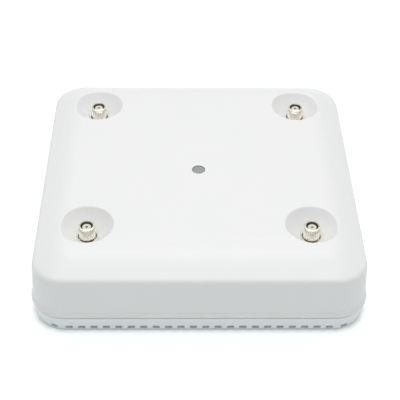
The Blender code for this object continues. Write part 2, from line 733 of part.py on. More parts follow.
def make_lens():
    """The light guide: a window flush with the cover, a clip flange and a tapering stem."""
    flange_top = HEIGHT - WALL - GAP
    stem_bottom = BOARD_TOP_Z + 2.6
    profile = [
        (0, HEIGHT - 0.3),
        (LENS_RADIUS - 1.2, HEIGHT - 0.4),
        (LENS_RADIUS, HEIGHT - 0.7),
        (LENS_RADIUS, flange_top),
        (LENS_FLANGE_RADIUS, flange_top),
        (LENS_FLANGE_RADIUS, flange_top - 1.4),
        (3.2, flange_top - 1.4),
        (2.0, stem_bottom),
        (0, stem_bottom),
    ]
    turned_part("status_lens", "lens", profile, (0, LENS_Y, 0), 16)


# ---- sockets in the cable bay -------------------------------------------------------------------
def make_rj45(name, x):
    """An eight-way modular jack with a stepped opening towards +Y."""
    low, high = PORT_BOTTOM_Z, PORT_TOP_Z
    half = RJ45_WIDTH / 2
    shell = boxes(name, [((-half, RJ45_REAR_Y, low), (half, BAY_FRONT_Y, high))])
    body = place(name, shell, "tinplate", (x, 0, 0))
    front = BAY_FRONT_Y + 1
    mouth = [
        ((-5.9, 49.0, low + 4.6), (5.9, front, high - 1.6)),
        ((-3.2, 51.0, low + 2.6), (3.2, front, low + 4.7)),
    ]
    for number, corners in enumerate(mouth):
        boolean(body, tool(f"{name}_mouth_{number}", boxes("mouth", [corners]), (x, 0, 0)))


def make_usb():
    """A type-A receptacle: a metal shell round a contact tongue."""
    low, high, half = USB_BOTTOM_Z, PORT_TOP_Z, USB_WIDTH / 2
    shell = boxes("usb_port", [((-half, SMALL_PORT_REAR_Y, low), (half, BAY_FRONT_Y, high))])
    port = place("usb_port", shell, "tinplate", (USB_X, 0, 0))
    wall = 0.45
    room_low = (wall - half, SMALL_PORT_REAR_Y + 2, low + wall)
    room = boxes("usb_room", [(room_low, (half - wall, BAY_FRONT_Y + 1, high - wall))])
    boolean(port, tool("usb_room", room, (USB_X, 0, 0)))
    tongue_low = (-5.4, SMALL_PORT_REAR_Y + 1.5, high - 2.4)
    tongue = boxes("usb_tongue", [(tongue_low, (5.4, BAY_FRONT_Y - 1.5, high - 1.1))])
    boolean(port, tool("usb_tongue", tongue, (USB_X, 0, 0)), "UNION")


def lying_rod(name, radius, near, far):
    """A cylinder along +Y, round its own origin."""
    bm = bmesh.new()
    add_rod(bm, radius, near, far, sides=20)
    bmesh.ops.transform(bm, matrix=Matrix.Rotation(-math.pi / 2, 4, "X"), verts=bm.verts)
    return mesh_of(bm, name)


def make_dc_jack():
    """A coaxial power socket: a block with a round mouth and a centre pin."""
    low, high, half = DC_BOTTOM_Z, PORT_TOP_Z, DC_WIDTH / 2
    block = boxes("dc_power_jack", [((-half, SMALL_PORT_REAR_Y, low), (half, BAY_FRONT_Y, high))])
    jack = place("dc_power_jack", block, "black_plastic", (DC_X, 0, 0))
    at = (DC_X, 0, (low + high) / 2)
    mouth = lying_rod("dc_mouth", 3.2, SMALL_PORT_REAR_Y + 3, BAY_FRONT_Y + 1)
    boolean(jack, tool("dc_mouth", mouth, at))
    pin = lying_rod("dc_pin", 1.0, SMALL_PORT_REAR_Y + 2, BAY_FRONT_Y - 1)
    boolean(jack, tool("dc_pin", pin, at), "UNION")


def make_button():
    """The recessed mode button, which slides towards -Y, and the switch behind it."""
    flange = BAY_FRONT_Y - BAY_WALL - GAP
    profile = [
        (0, BUTTON_TIP_Y),
        (1.4, BUTTON_TIP_Y),
        (1.8, BUTTON_TIP_Y - 0.4),
        (1.8, flange),
        (2.8, flange),
        (2.8, flange - 1.2),
        (1.2, flange - 1.2),
        (1.2, BUTTON_STEM_Y),
        (0, BUTTON_STEM_Y),
    ]
    profile = [(radius, y - BUTTON_TIP_Y) for radius, y in profile]
    origin = (BUTTON_X, BUTTON_TIP_Y, BUTTON_Z)
    button = turned_part("mode_button", "button_plastic", profile, origin, 16)
    button.rotation_euler = (-math.pi / 2, 0, 0)
    low, high = BUTTON_Z - 3.2, PORT_TOP_Z
    block = boxes("mode_switch", [((-3.2, 49, low), (3.2, 53.2, high))])
    switch = place("mode_switch", block, "black_plastic", (BUTTON_X, 0, 0))
    plunger = lying_rod("switch_plunger", 1.6, 52.0, BUTTON_STEM_Y - BUTTON_TRAVEL - 0.4)
    boolean(switch, tool("switch_plunger", plunger, (BUTTON_X, 0, BUTTON_Z)), "UNION")


# ---- feet, screws and label ------------------------------------------------------------------
def make_fasteners():
    for name, (x, y) in foot_places().items():
        foot = [
            (0, 6.5),
            (2.0, 6.5),
            (2.0, PLATE_BOTTOM_Z - GAP),
            (4.2, PLATE_BOTTOM_Z - GAP),
            (4.2, 2.0),
            (6.6, 1.6),
            (7.0, 1.2),
            (7.0, 0.4),
            (6.6, 0.0),
            (0, 0.0),
        ]
        turned_part("mounting_foot_" + name, "steel", foot, (x, y, 0), 18)
    for name, (sx, sy) in CORNERS.items():
        screw = [
            (0, 20.0),
            (0.9, 20.0),
            (0.9, PLATE_TOP_Z),
            (1.5, PLATE_TOP_Z - 0.5),
            (1.5, 6.0 - GAP),
            (3.1, 6.0 - GAP),
            (3.1, 5.0),
            (2.4, 4.5),
            (0, 4.5),
        ]
        at = (sx * SCREW_CORNER, sy * SCREW_CORNER, 0)
        turned_part("cover_screw_" + name, "steel", screw, at, 8)
        head = BOARD_TOP_Z + 2 * GAP + SHEET
        screw = [
            (0, head + 2.0),
            (1.8, head + 2.0),
            (2.8, head + 1.2),
            (2.8, head),
            (1.5, head),
            (1.5, BOARD_BOTTOM_Z),
            (0.9, BOARD_BOTTOM_Z - 0.5),
            (0.9, 14.0),
            (0, 14.0),
        ]
        turned_part("carrier_screw_" + name, "steel", screw, (sx * POST_X, sy * POST_Y, 0), 8)


def make_label():
    under = PLATE_BOTTOM_Z - GAP
    sheet = rounded_block("rating_label", (-36, -46, under - 0.4), (36, 4, under), 3.0)
    place("rating_label", sheet, "label")


make_cover()
make_skirt()
make_base()
make_carrier()
make_board()
make_lens()
for corner, (jack_x, jack_y) in JACKS.items():
    make_jack(corner, jack_x, jack_y)
    make_lead(corner, jack_x, jack_y, FRONT_PLUG_Y if jack_y < 0 else REAR_PLUG_Y)
make_rj45("poe_ethernet_jack", POE_X)
make_rj45("aux_ethernet_jack", AUX_X)
make_rj45("console_jack", CONSOLE_X)
make_usb()
make_dc_jack()
make_button()
make_fasteners()
make_label()
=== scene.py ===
"""Looks of the ceiling access point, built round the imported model.

The cover, the skirt, the jacks, the light guide, the feet, the cover screws, the label and the
button are made here and replace their CAD nodes. The casting, the carrier and the sockets keep the
CAD's shape with rounded edges. The other nodes show as they are, in the materials of this script.
Lengths are millimetres; the helpers turn them into metres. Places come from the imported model.
"""

import json
import math

import bmesh
import bpy
import numpy as np
from mathutils import Matrix, Vector


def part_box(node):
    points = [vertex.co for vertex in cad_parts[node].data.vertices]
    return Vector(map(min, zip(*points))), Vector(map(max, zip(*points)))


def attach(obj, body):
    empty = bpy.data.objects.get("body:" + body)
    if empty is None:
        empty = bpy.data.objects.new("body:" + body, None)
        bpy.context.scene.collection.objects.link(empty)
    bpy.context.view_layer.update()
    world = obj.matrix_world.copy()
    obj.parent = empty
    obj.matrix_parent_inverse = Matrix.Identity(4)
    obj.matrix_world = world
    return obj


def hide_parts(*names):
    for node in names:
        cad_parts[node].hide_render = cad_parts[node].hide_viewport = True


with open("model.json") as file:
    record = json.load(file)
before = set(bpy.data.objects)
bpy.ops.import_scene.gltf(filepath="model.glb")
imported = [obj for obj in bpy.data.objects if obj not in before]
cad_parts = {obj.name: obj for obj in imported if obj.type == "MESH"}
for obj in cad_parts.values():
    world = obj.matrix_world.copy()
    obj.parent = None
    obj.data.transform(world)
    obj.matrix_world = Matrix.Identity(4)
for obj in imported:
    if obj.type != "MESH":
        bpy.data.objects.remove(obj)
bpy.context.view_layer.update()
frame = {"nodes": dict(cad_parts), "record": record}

MM = 0.001
CORNERS = ("front_left", "front_right", "rear_left", "rear_right")


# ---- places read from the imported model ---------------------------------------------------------
def extent(node):
    """Lowest and highest corner of a CAD node, in millimetres."""
    low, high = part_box(node)
    return low / MM, high / MM


def middle(node):
    """Centre of a CAD node's box, in millimetres."""
    low, high = extent(node)
    return (low + high) / 2


COVER_CORNER = extent("top_cover")[1]
HALF = COVER_CORNER.x  # half side of the footprint
TOP_Z = COVER_CORNER.z  # flat top of the cover
SKIRT_BOTTOM_Z = extent("lower_housing")[0].z
JACKS = {name: middle("antenna_jack_" + name) for name in CORNERS}
JACK_TOP_Z = extent("antenna_jack_front_left")[1].z
LENS_AT = middle("status_lens")

# ---- outline of the body -----------------------------------------------------------------------
CORNER_RADIUS = 23.0  # plan radius at the seam
CORNER_TAPER = 0.62  # the plan radius shrinks by this much of the inset
SEAM_Z = 13.1  # lower edge of the cover
SEAM_GAP = 0.65
STEP = 0.5  # each of the two small steps along the cover's lower edge
STEPS_TOP_Z = 16.8
EDGE_Z = 42.6  # where the side wall turns into the shoulder
EDGE_INSET = 2.4
SHOULDER_INSET = 20.5  # where the shoulder would meet the flat top
WALL = 2.0

DISH_RIM_RADIUS = 17.8
DISH_RIM_SLOPE = math.radians(48)  # fall of the dish at its rim
DISH_FLOOR_RADIUS = 6.9
DISH_FLOOR_Z = 41.2
DISH_PATCH_RADIUS = 21.0  # the cover is opened to this radius and closed again with the dish
JACK_HOLE_RADIUS = 6.3
LENS_RADIUS = 4.2
LENS_HOLE_RADIUS = 4.5
LENS_PATCH_RADIUS = 7.0
PIT_BOTTOM_Z = 30.0  # the cover is opened down to here
LIP = 0.3  # small round at the edge of each hole in the cover


def filleted(points, fillets, steps):
    """A section line with an arc of the given radius at each inner corner that has one."""
    line = [points[0]]
    for before, corner, after, radius in zip(points, points[1:], points[2:], fillets):
        if not radius:
            line.append(corner)
            continue
        corner_at = Vector(corner)
        into = (Vector(before) - corner_at).normalized()
        out = (Vector(after) - corner_at).normalized()
        half_angle = into.angle(out) / 2
        reach = radius / math.tan(half_angle)
        centre = corner_at + (into + out).normalized() * radius / math.sin(half_angle)
        start = corner_at + into * reach - centre
        turn = start.angle_signed(corner_at + out * reach - centre)
        for step in range(steps + 1):
            spoke = start.copy()
            spoke.rotate(Matrix.Rotation(-turn * step / steps, 2))
            line.append(tuple(centre + spoke))
    line.append(points[-1])
    return line


def cover_section():
    """The cover's outer section as (inset, z), from its lower edge to the flat top."""
    low = [
        (0.5, SEAM_Z),
        (0.0, SEAM_Z + 0.05),
        (0.0, SEAM_Z + 1.1),
        (STEP, SEAM_Z + 1.35),
        (STEP + 0.1, STEPS_TOP_Z - 0.25),
        (2 * STEP, STEPS_TOP_Z),
    ]
    high = [(EDGE_INSET, EDGE_Z), (SHOULDER_INSET, TOP_Z), (SHOULDER_INSET + 12.0, TOP_Z)]
    return filleted(low + high, [0.25, 0.25, 0.2, 0.2, 0.5, 5.0, 25.0], 8)


SECTION = np.array(cover_section())
UPPER = SECTION[SECTION[:, 1] > EDGE_Z - 6.0]


def inset_at(x, y):
    """How far inside the widest outline the plan loop through a point lies."""
    across, along = abs(x), abs(y)
    straight = HALF - max(across, along)
    centre = HALF - CORNER_RADIUS
    slide = 1.0 - CORNER_TAPER
    if min(across, along) <= centre - slide * straight:
        return straight
    a, b = across - centre, along - centre
    square = 2 * slide**2 - CORNER_TAPER**2
    linear = slide * (a + b) + CORNER_RADIUS * CORNER_TAPER
    constant = a * a + b * b - CORNER_RADIUS**2
    return (math.sqrt(linear * linear - square * constant) - linear) / square


def top_height(x, y):
    """Height of the cover's shoulder or flat top over a point."""
    return float(np.interp(inset_at(x, y), UPPER[:, 0], UPPER[:, 1]))


def dish_arc():
    """Radius of the arc in a dish's section, and the radius and height of its centre."""
    across = DISH_RIM_RADIUS - DISH_FLOOR_RADIUS
    down = TOP_Z - DISH_FLOOR_Z
    half_sweep = DISH_RIM_SLOPE - math.atan2(down, across)
    bend = math.hypot(across, down) / 2 / math.sin(half_sweep)
    centre_radius = DISH_RIM_RADIUS - bend * math.sin(DISH_RIM_SLOPE)
    return bend, centre_radius, TOP_Z + bend * math.cos(DISH_RIM_SLOPE)


DISH_ARC = dish_arc()
DISH_RIM_BLEND = 0.6  # how far the dish's rim is rounded off, in height


def dish_height(radius):
    """Height of the bowl round an antenna jack, carried on at its slope past its rim."""
    if radius >= DISH_RIM_RADIUS:
        return TOP_Z + (radius - DISH_RIM_RADIUS) * math.tan(DISH_RIM_SLOPE)
    bend, centre_radius, centre_z = DISH_ARC
    reach = max(radius, DISH_FLOOR_RADIUS) - centre_radius
    return centre_z - math.sqrt(bend * bend - reach * reach)


def soft_minimum(a, b, blend):
    """The lower of two heights, with the crossing rounded off."""
    share = min(1.0, max(0.0, 0.5 + 0.5 * (b - a) / blend))
    return b * (1 - share) + a * share - blend * share * (1 - share)


# ---- mesh helpers ------------------------------------------------------------------------------
def add_object(name, mesh, at=(0, 0, 0)):
    """A new object in the scene, at a place in millimetres."""
    made = bpy.data.objects.new(name, mesh)
    made.location = Vector(at) * MM
    bpy.context.scene.collection.objects.link(made)
    return made


def mesh_from(bm, name):
    """A mesh made from a bmesh, which is freed."""
    mesh = bpy.data.meshes.new(name)
    bm.to_mesh(mesh)
    bm.free()
    return mesh


def smooth(made, angle=35):
    """Smooth shading that keeps edges sharper than the angle."""
    made.data.shade_smooth()
    made.data.set_sharp_from_angle(angle=math.radians(angle))


def baked(made):
    """Replaces the object's mesh by its evaluated one and drops its modifiers."""
    graph = bpy.context.evaluated_depsgraph_get()
    mesh = bpy.data.meshes.new_from_object(made.evaluated_get(graph))
    made.modifiers.clear()
    made.data = mesh
    return made


def rounded_loop(bm, half, radius, z, steps):
    """Adds the points of a square loop with round corners, counterclockwise from above."""
    centre = half - radius
    verts = []
    for quarter in range(4):
        sign_x = (1, -1, -1, 1)[quarter]
        sign_y = (1, 1, -1, -1)[quarter]
        for step in range(steps + 1):
            angle = math.radians(90 * quarter + 90 * step / steps)
            x = sign_x * centre + radius * math.cos(angle)
            y = sign_y * centre + radius * math.sin(angle)
            verts.append(bm.verts.new(Vector((x, y, z)) * MM))
    return verts


def ring_of(inset, z):
    """Half side, corner radius and height of the plan loop at an inset."""
    return HALF - inset, CORNER_RADIUS - inset * CORNER_TAPER, z


def join_loops(bm, lower, upper):
    """Quads between two loops of equally many points."""
    for quad in zip(lower, lower[1:] + lower[:1], upper[1:] + upper[:1], upper):
        bm.faces.new(quad)


def loft(rings, steps, closed):
    """A bmesh lofted through square rings going up the outer side, as a hoop when closed."""
    bm = bmesh.new()
    loops = [rounded_loop(bm, *ring, steps) for ring in rings]
    for lower, upper in zip(loops, loops[1:] + (loops[:1] if closed else [])):
        join_loops(bm, lower, upper)
    if not closed:
        bm.faces.new(reversed(loops[0]))
        bm.faces.new(loops[-1])
    return bm


def lathe(profile, sides, radius_at=None):
    """A bmesh turned about z from a profile of (radius, z) that runs down its outer side.

    A point on the axis becomes one vertex. A profile that stays off the axis closes on itself.
    radius_at(radius, z, angle) may reshape the surface.
    """
    bm = bmesh.new()
    loops = []
    for radius, z in profile:
        if radius <= 0:
            loops.append([bm.verts.new(Vector((0, 0, z)) * MM)])
            continue
        loop = []
        for step in range(sides):
            angle = math.tau * step / sides
            reach = radius_at(radius, z, angle) if radius_at else radius
            loop.append(bm.verts.new(Vector((reach * math.cos(angle), reach * math.sin(angle), z)) * MM))
        loops.append(loop)
    following = loops[1:] + ([loops[0]] if profile[0][0] > 0 else [])
    for upper, lower in zip(loops, following):
        if len(upper) == 1:
            for a, b in zip(lower, lower[1:] + lower[:1]):
                bm.faces.new((upper[0], a, b))
        elif len(lower) == 1:
            for a, b in zip(upper, upper[1:] + upper[:1]):
                bm.faces.new((b, a, lower[0]))
        else:
            join_loops(bm, lower, upper)
    return bm


def cut(target, *others):
    """Cuts the target with helper solids and removes them."""
    for other in others:
        modifier = target.modifiers.new("cut", "BOOLEAN")
        modifier.operation = "DIFFERENCE"
        modifier.object = other
        modifier.solver = "EXACT"
    baked(target)
    for other in others:
        bpy.data.objects.remove(other)
    return target


def finish(made, slot, replaced=(), body="housing"):
    """Gives a piece its slot's material, the CAD body it rides on and the nodes it replaces."""
    made.data.materials.clear()
    made.data.materials.append(FINISHES[slot])
    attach(made, body)
    if replaced:
        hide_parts(*replaced)
    return made


def softened(node, width, slot):
    """A copy of a CAD node with its flat faces merged and its edges rounded, which replaces it."""
    mesh = frame["nodes"][node].data.copy()
    bm = bmesh.new()
    bm.from_mesh(mesh)
    bmesh.ops.remove_doubles(bm, verts=bm.verts, dist=0.002 * MM)
    bmesh.ops.dissolve_limit(
        bm, angle_limit=math.radians(1.0), verts=bm.verts, edges=bm.edges, use_dissolve_boundaries=False
    )
    made = add_object(node + "_finished", mesh_from(bm, node + "_finished"))
    bevel = made.modifiers.new("edges", "BEVEL")
    bevel.width = width * MM
    bevel.segments = 2
    bevel.limit_method = "ANGLE"
    bevel.angle_limit = math.radians(40)
    bevel.use_clamp_overlap = True
    baked(made)
    smooth(made, 40)
    weighted = made.modifiers.new("flat_faces", "WEIGHTED_NORMAL")
    weighted.mode = "FACE_AREA"
    weighted.weight = 100
    weighted.keep_sharp = True
    baked(made)
    return finish(made, slot, (node,))


# ---- materials: one short function for each, named after its slot -------------------------------
class Paint:
    """A node material built up in layers round one Principled shader."""

    def __init__(self, name, colour, roughness, metallic=0.0):
        self.material = bpy.data.materials.new(name)
        self.material.use_nodes = True
        self.tree = self.material.node_tree
        self.shader = self.tree.nodes["Principled BSDF"]
        self.shader.inputs["Metallic"].default_value = metallic
        self.shader.inputs["Roughness"].default_value = roughness
        self.shader.inputs["Base Color"].default_value = (*colour, 1.0)
        self.roughness = roughness
        self.colour = self.constant(colour)
        self.place = self.add("ShaderNodeTexCoord").outputs["Object"]
        self.last_bump = None

    def add(self, kind, **settings):
        """A new node of the given kind."""
        made = self.tree.nodes.new(kind)
        for key, value in settings.items():
            setattr(made, key, value)
        return made

    def link(self, output, socket):
        """Connects one node to another."""
        self.tree.links.new(output, socket)

    def constant(self, colour):
        """One plain colour as a node's output."""
        made = self.add("ShaderNodeRGB")
        made.outputs[0].default_value = (*colour, 1.0)
        return made.outputs[0]

    def noise(self, size, detail=2.0, stretch=(1, 1, 1)):
        """Noise whose features are about the given size in millimetres."""
        mapping = self.add("ShaderNodeMapping")
        mapping.inputs["Scale"].default_value = stretch
        texture = self.add("ShaderNodeTexNoise")
        texture.inputs["Scale"].default_value = 1.0 / (size * MM)
        texture.inputs["Detail"].default_value = detail
        self.link(self.place, mapping.inputs["Vector"])
        self.link(mapping.outputs[0], texture.inputs["Vector"])
        return texture.outputs["Fac"]

    def spread(self, value, low, high, from_low=0.3, from_high=0.7):
        """Maps a value that varies between two levels onto another pair of levels."""
        made = self.add("ShaderNodeMapRange")
        made.inputs["From Min"].default_value = from_low
        made.inputs["From Max"].default_value = from_high
        made.inputs["To Min"].default_value = low
        made.inputs["To Max"].default_value = high
        self.link(value, made.inputs["Value"])
        return made.outputs["Result"]

    def tint(self, amount, colour):
        """Mixes a colour over what is there by a varying amount."""
        mix = self.add("ShaderNodeMix", data_type="RGBA")
        self.link(amount, mix.inputs["Factor"])
        self.link(self.colour, mix.inputs["A"])
        mix.inputs["B"].default_value = (*colour, 1.0)
        self.colour = mix.outputs["Result"]
        self.link(self.colour, self.shader.inputs["Base Color"])
        return self

    def mottle(self, size, colour, amount):
        """Uneven colour in patches of the given size."""
        return self.tint(self.spread(self.noise(size, 3.0), 0.0, amount), colour)

    def wear(self, colour, amount, start=0.52, end=0.62):
        """A change of colour along sharp outer edges."""
        geometry = self.add("ShaderNodeNewGeometry")
        return self.tint(self.spread(geometry.outputs["Pointiness"], 0.0, amount, start, end), colour)

    def worn_edges(self, colour, amount, reach=0.5):
        """A change of colour wherever another face of the same body lies close behind this one."""
        near = self.add("ShaderNodeAmbientOcclusion", inside=True, samples=8)
        near.inputs["Distance"].default_value = reach * MM
        return self.tint(self.spread(near.outputs["AO"], amount, 0.0, 0.4, 0.9), colour)

    def glow_with_painted_shadow(self, strength, reach):
        """A light of its own, which fades where something stands within the reach: a painted contact
        shadow.
        """
        open_sky = self.add("ShaderNodeAmbientOcclusion", samples=16)
        open_sky.inputs["Distance"].default_value = reach * MM
        glow = self.spread(open_sky.outputs["AO"], 0.0, strength, 0.0, 1.0)
        self.link(glow, self.shader.inputs["Emission Strength"])
        return self

    def uneven_gloss(self, size, spread):
        """Roughness that wanders by the given spread in patches of the given size."""
        level = self.spread(self.noise(size, 2.0), self.roughness - spread, self.roughness + spread)
        self.link(level, self.shader.inputs["Roughness"])
        return self

    def bump(self, height, depth, strength=1.0):
        """Relief of the given depth in millimetres from a height value."""
        made = self.add("ShaderNodeBump")
        made.inputs["Strength"].default_value = strength
        made.inputs["Distance"].default_value = depth * MM
        self.link(height, made.inputs["Height"])
        if self.last_bump:
            self.link(self.last_bump, made.inputs["Normal"])
        self.last_bump = made.outputs["Normal"]
        self.link(self.last_bump, self.shader.inputs["Normal"])
        return self

    def grain(self, size, depth, strength=1.0, detail=2.0, stretch=(1, 1, 1)):
        """Relief from noise of the given size."""
        return self.bump(self.noise(size, detail, stretch), depth, strength)

    def rings(self, pitch, depth, kind="RINGS"):
        """Fine turning marks, as circles round the z axis or bands along it."""
        wave = self.add("ShaderNodeTexWave", wave_type=kind, rings_direction="Z", bands_direction="Z")
        wave.inputs["Scale"].default_value = math.tau / 20 / (pitch * MM)
        wave.inputs["Distortion"].default_value = 0.3
        self.link(self.place, wave.inputs["Vector"])
        return self.bump(wave.outputs["Fac"], depth)

    def set(self, **values):
        """Fixed values of the shader's inputs, with underscores for spaces."""
        for key, value in values.items():
            self.shader.inputs[key.replace("_", " ")].default_value = value
        return self


def cover_plastic():
    paint = Paint("cover_plastic", (0.755, 0.757, 0.757), 0.42)
    paint.mottle(35.0, (0.740, 0.748, 0.747), 0.6).mottle(1.2, (0.73, 0.73, 0.73), 0.25)
    paint.wear((0.82, 0.82, 0.82), 0.5).uneven_gloss(8.0, 0.04)
    paint.grain(0.35, 0.012, 0.6).grain(60.0, 0.05, 0.5)
    return paint.set(IOR=1.47).material


def housing_plastic():
    paint = Paint("housing_plastic", (0.76, 0.785, 0.80), 0.46)
    paint.mottle(25.0, (0.73, 0.758, 0.775), 0.6).mottle(1.0, (0.70, 0.725, 0.745), 0.25)
    paint.wear((0.81, 0.84, 0.855), 0.5).uneven_gloss(7.0, 0.04).grain(0.35, 0.012, 0.6)
    return paint.set(IOR=1.47).material


def cast_metal():
    paint = Paint("cast_metal", (0.56, 0.57, 0.58), 0.48, 0.75)
    paint.mottle(18.0, (0.50, 0.51, 0.53), 0.8).mottle(0.8, (0.42, 0.43, 0.44), 0.5)
    paint.worn_edges((0.75, 0.75, 0.76), 0.6).uneven_gloss(4.0, 0.09)
    return paint.grain(0.5, 0.05).grain(9.0, 0.08, 0.5).material


def plated_sheet():
    paint = Paint("plated_sheet", (0.70, 0.70, 0.69), 0.27, 1.0)
    paint.mottle(6.0, (0.62, 0.62, 0.60), 0.7).worn_edges((0.82, 0.82, 0.80), 0.6, 0.15)
    return paint.uneven_gloss(2.5, 0.08).grain(0.9, 0.012, 1.0, 3.0, (1, 14, 1)).material


def nickel():
    paint = Paint("nickel", (0.98, 0.94, 0.82), 0.3, 1.0)
    paint.mottle(1.6, (0.88, 0.84, 0.73), 0.6).wear((0.95, 0.93, 0.86), 0.6)
    return paint.uneven_gloss(1.0, 0.06).rings(0.09, 0.002).material


def bore_shade():
    """Painted shade: the same plating inside the mouth of a jack, darker in colour where the light hardly
    reaches.
    """
    paint = Paint("bore_shade", (0.46, 0.42, 0.34), 0.4, 0.8)
    paint.mottle(1.2, (0.34, 0.31, 0.25), 0.7)
    return paint.uneven_gloss(0.8, 0.08).rings(0.12, 0.004, kind="BANDS").material


def gold():
    paint = Paint("gold", (0.86, 0.66, 0.32), 0.22, 1.0)
    paint.mottle(0.7, (0.76, 0.55, 0.25), 0.6).wear((0.95, 0.80, 0.50), 0.5)
    return paint.uneven_gloss(0.5, 0.06).rings(0.08, 0.002).material


def white_insulator():
    paint = Paint("white_insulator", (0.70, 0.68, 0.60), 0.38)
    paint.mottle(1.4, (0.60, 0.58, 0.50), 0.6).uneven_gloss(0.8, 0.06)
    return paint.rings(0.14, 0.004).set(Subsurface_Weight=0.15, Subsurface_Scale=0.6 * MM).material


def smoked_lens():
    paint = Paint("smoked_lens", (0.28, 0.285, 0.29), 0.24)
    paint.mottle(2.2, (0.34, 0.345, 0.35), 0.7).uneven_gloss(2.0, 0.04).grain(0.25, 0.006, 0.6)
    return paint.set(IOR=1.5, Coat_Weight=0.25, Coat_Roughness=0.12).material


def circuit_board():
    paint = Paint("circuit_board", (0.035, 0.20, 0.09), 0.32)
    paint.mottle(9.0, (0.025, 0.16, 0.075), 0.8)
    tracks = paint.add("ShaderNodeTexBrick", offset=0.37)
    tracks.inputs["Scale"].default_value = 1.0 / (22.0 * MM)
    tracks.inputs["Mortar Size"].default_value = 0.012
    paint.link(paint.place, tracks.inputs["Vector"])
    paint.tint(tracks.outputs["Fac"], (0.07, 0.33, 0.15)).uneven_gloss(5.0, 0.05)
    return paint.bump(tracks.outputs["Fac"], 0.03).material


def chip_black():
    paint = Paint("chip_black", (0.022, 0.022, 0.023), 0.52)
    paint.mottle(3.0, (0.035, 0.035, 0.036), 0.8).wear((0.07, 0.07, 0.07), 0.6)
    return paint.uneven_gloss(1.5, 0.07).grain(0.18, 0.01).material


def thermal_pad():
    paint = Paint("thermal_pad", (0.30, 0.36, 0.47), 0.8)
    paint.mottle(2.0, (0.25, 0.31, 0.42), 0.8)
    return paint.uneven_gloss(1.0, 0.08).grain(0.5, 0.05).material


def coax_jacket():
    paint = Paint("coax_jacket", (0.045, 0.045, 0.05), 0.38)
    paint.mottle(2.5, (0.07, 0.07, 0.075), 0.7)
    return paint.uneven_gloss(1.5, 0.06).grain(0.3, 0.01).material


def steel():
    paint = Paint("steel", (0.60, 0.60, 0.60), 0.3, 1.0)
    paint.mottle(2.0, (0.52, 0.53, 0.55), 0.7).wear((0.80, 0.80, 0.79), 0.6)
    return paint.uneven_gloss(1.0, 0.08).rings(0.16, 0.006).material


def button_plastic():
    paint = Paint("button_plastic", (0.33, 0.35, 0.38), 0.45)
    paint.mottle(0.9, (0.28, 0.30, 0.33), 0.6).wear((0.45, 0.47, 0.50), 0.5)
    return paint.uneven_gloss(0.8, 0.05).grain(0.2, 0.008).material


def label_film():
    paint = Paint("label_film", (0.66, 0.67, 0.69), 0.36)
    paint.mottle(6.0, (0.62, 0.63, 0.65), 0.7)
    return paint.uneven_gloss(3.0, 0.05).grain(0.8, 0.01).material


FINISHES = {
    make.__name__: make()
    for make in (
        cover_plastic,
        housing_plastic,
        cast_metal,
        plated_sheet,
        nickel,
        gold,
        white_insulator,
        smoked_lens,
        circuit_board,
        chip_black,
        thermal_pad,
        coax_jacket,
        steel,
        button_plastic,
        label_film,
    )
}
BORE_SHADE = bore_shade()  # no slot of its own: a second material on the jacks, painted shade inside their mouths


# ---- cover -------------------------------------------------------------------------------------
CORNER_FACETS = 16


def close_with_rings(bm, centre, patch_radius, radii, height_at):
    """Fills a round opening in an open skin with rings of points, the last of them left open.

    The opening's own points give the angles, so the rings join it without a crack.
    """
    reach = patch_radius + 0.5
    high = [v for v in bm.verts if v.is_boundary and v.co.z > PIT_BOTTOM_Z * MM]
    edge = [v for v in high if (v.co.xy / MM - centre).length < reach]
    angle_of = {v: math.atan2(v.co.y / MM - centre.y, v.co.x / MM - centre.x) for v in edge}
    loop = sorted(edge, key=angle_of.get)
    angles = [angle_of[v] for v in loop]
    for radius in radii:
        inner = []
        for angle in angles:
            x = centre.x + radius * math.cos(angle)
            y = centre.y + radius * math.sin(angle)
            inner.append(bm.verts.new(Vector((x, y, height_at(x, y, radius))) * MM))
        join_loops(bm, loop, inner)
        loop = inner


def pit(centre, radius, sides):
    """A helper solid that opens the cover's skin in a circle."""
    top = TOP_Z + 5.0
    profile = [(0, top), (radius, top), (radius, PIT_BOTTOM_Z), (0, PIT_BOTTOM_Z)]
    return add_object("pit", mesh_from(lathe(profile, sides), "pit"), (centre.x, centre.y, 0))


def make_cover():
    """The moulded cover: one skin with its dishes, thickened inwards."""
    skin = loft([ring_of(inset, z) for inset, z in SECTION], CORNER_FACETS, False)
    cover = add_object("cover_shell", mesh_from(skin, "cover_shell"))
    centres = [jack.xy for jack in JACKS.values()]
    pits = [pit(centre, DISH_PATCH_RADIUS, 96) for centre in centres]
    pits.append(pit(LENS_AT.xy, LENS_PATCH_RADIUS, 64))
    cut(cover, *pits)
    bm = bmesh.new()
    bm.from_mesh(cover.data)
    bmesh.ops.remove_doubles(bm, verts=bm.verts, dist=0.001 * MM)
    walls = [f for f in bm.faces if in_pit(f, centres) or f.normal.z < -0.99]
    bmesh.ops.delete(bm, geom=walls, context="FACES")
    for centre in centres:
        close_with_rings(bm, centre, DISH_PATCH_RADIUS, DISH_RADII, dish_point)
    close_with_rings(bm, LENS_AT.xy, LENS_PATCH_RADIUS, LENS_RADII, lens_rim_point)
    bmesh.ops.recalc_face_normals(bm, faces=bm.faces)
    bm.to_mesh(cover.data)
    bm.free()
    thick = cover.modifiers.new("thickness", "SOLIDIFY")
    thick.thickness = WALL * MM
    thick.offset = -1.0
    thick.use_even_offset = True
    baked(cover)
    smooth(cover, 30)
    finish(cover, "cover_plastic", ("top_cover",))


def in_pit(face, centres):
    """Whether a face is the wall or floor that a pit left in the cover."""
    at = face.calc_center_median() / MM
    if at.z < PIT_BOTTOM_Z + 0.5:
        return abs(face.normal.z) > 0.99 and at.z > PIT_BOTTOM_Z - 1.0
    reach = min((at.xy - centre).length for centre in centres)
    inside_dish = reach < DISH_PATCH_RADIUS + 0.2
    inside_lens = (at.xy - LENS_AT.xy).length < LENS_PATCH_RADIUS + 0.2
    return (inside_dish or inside_lens) and abs(face.normal.z) < 0.05


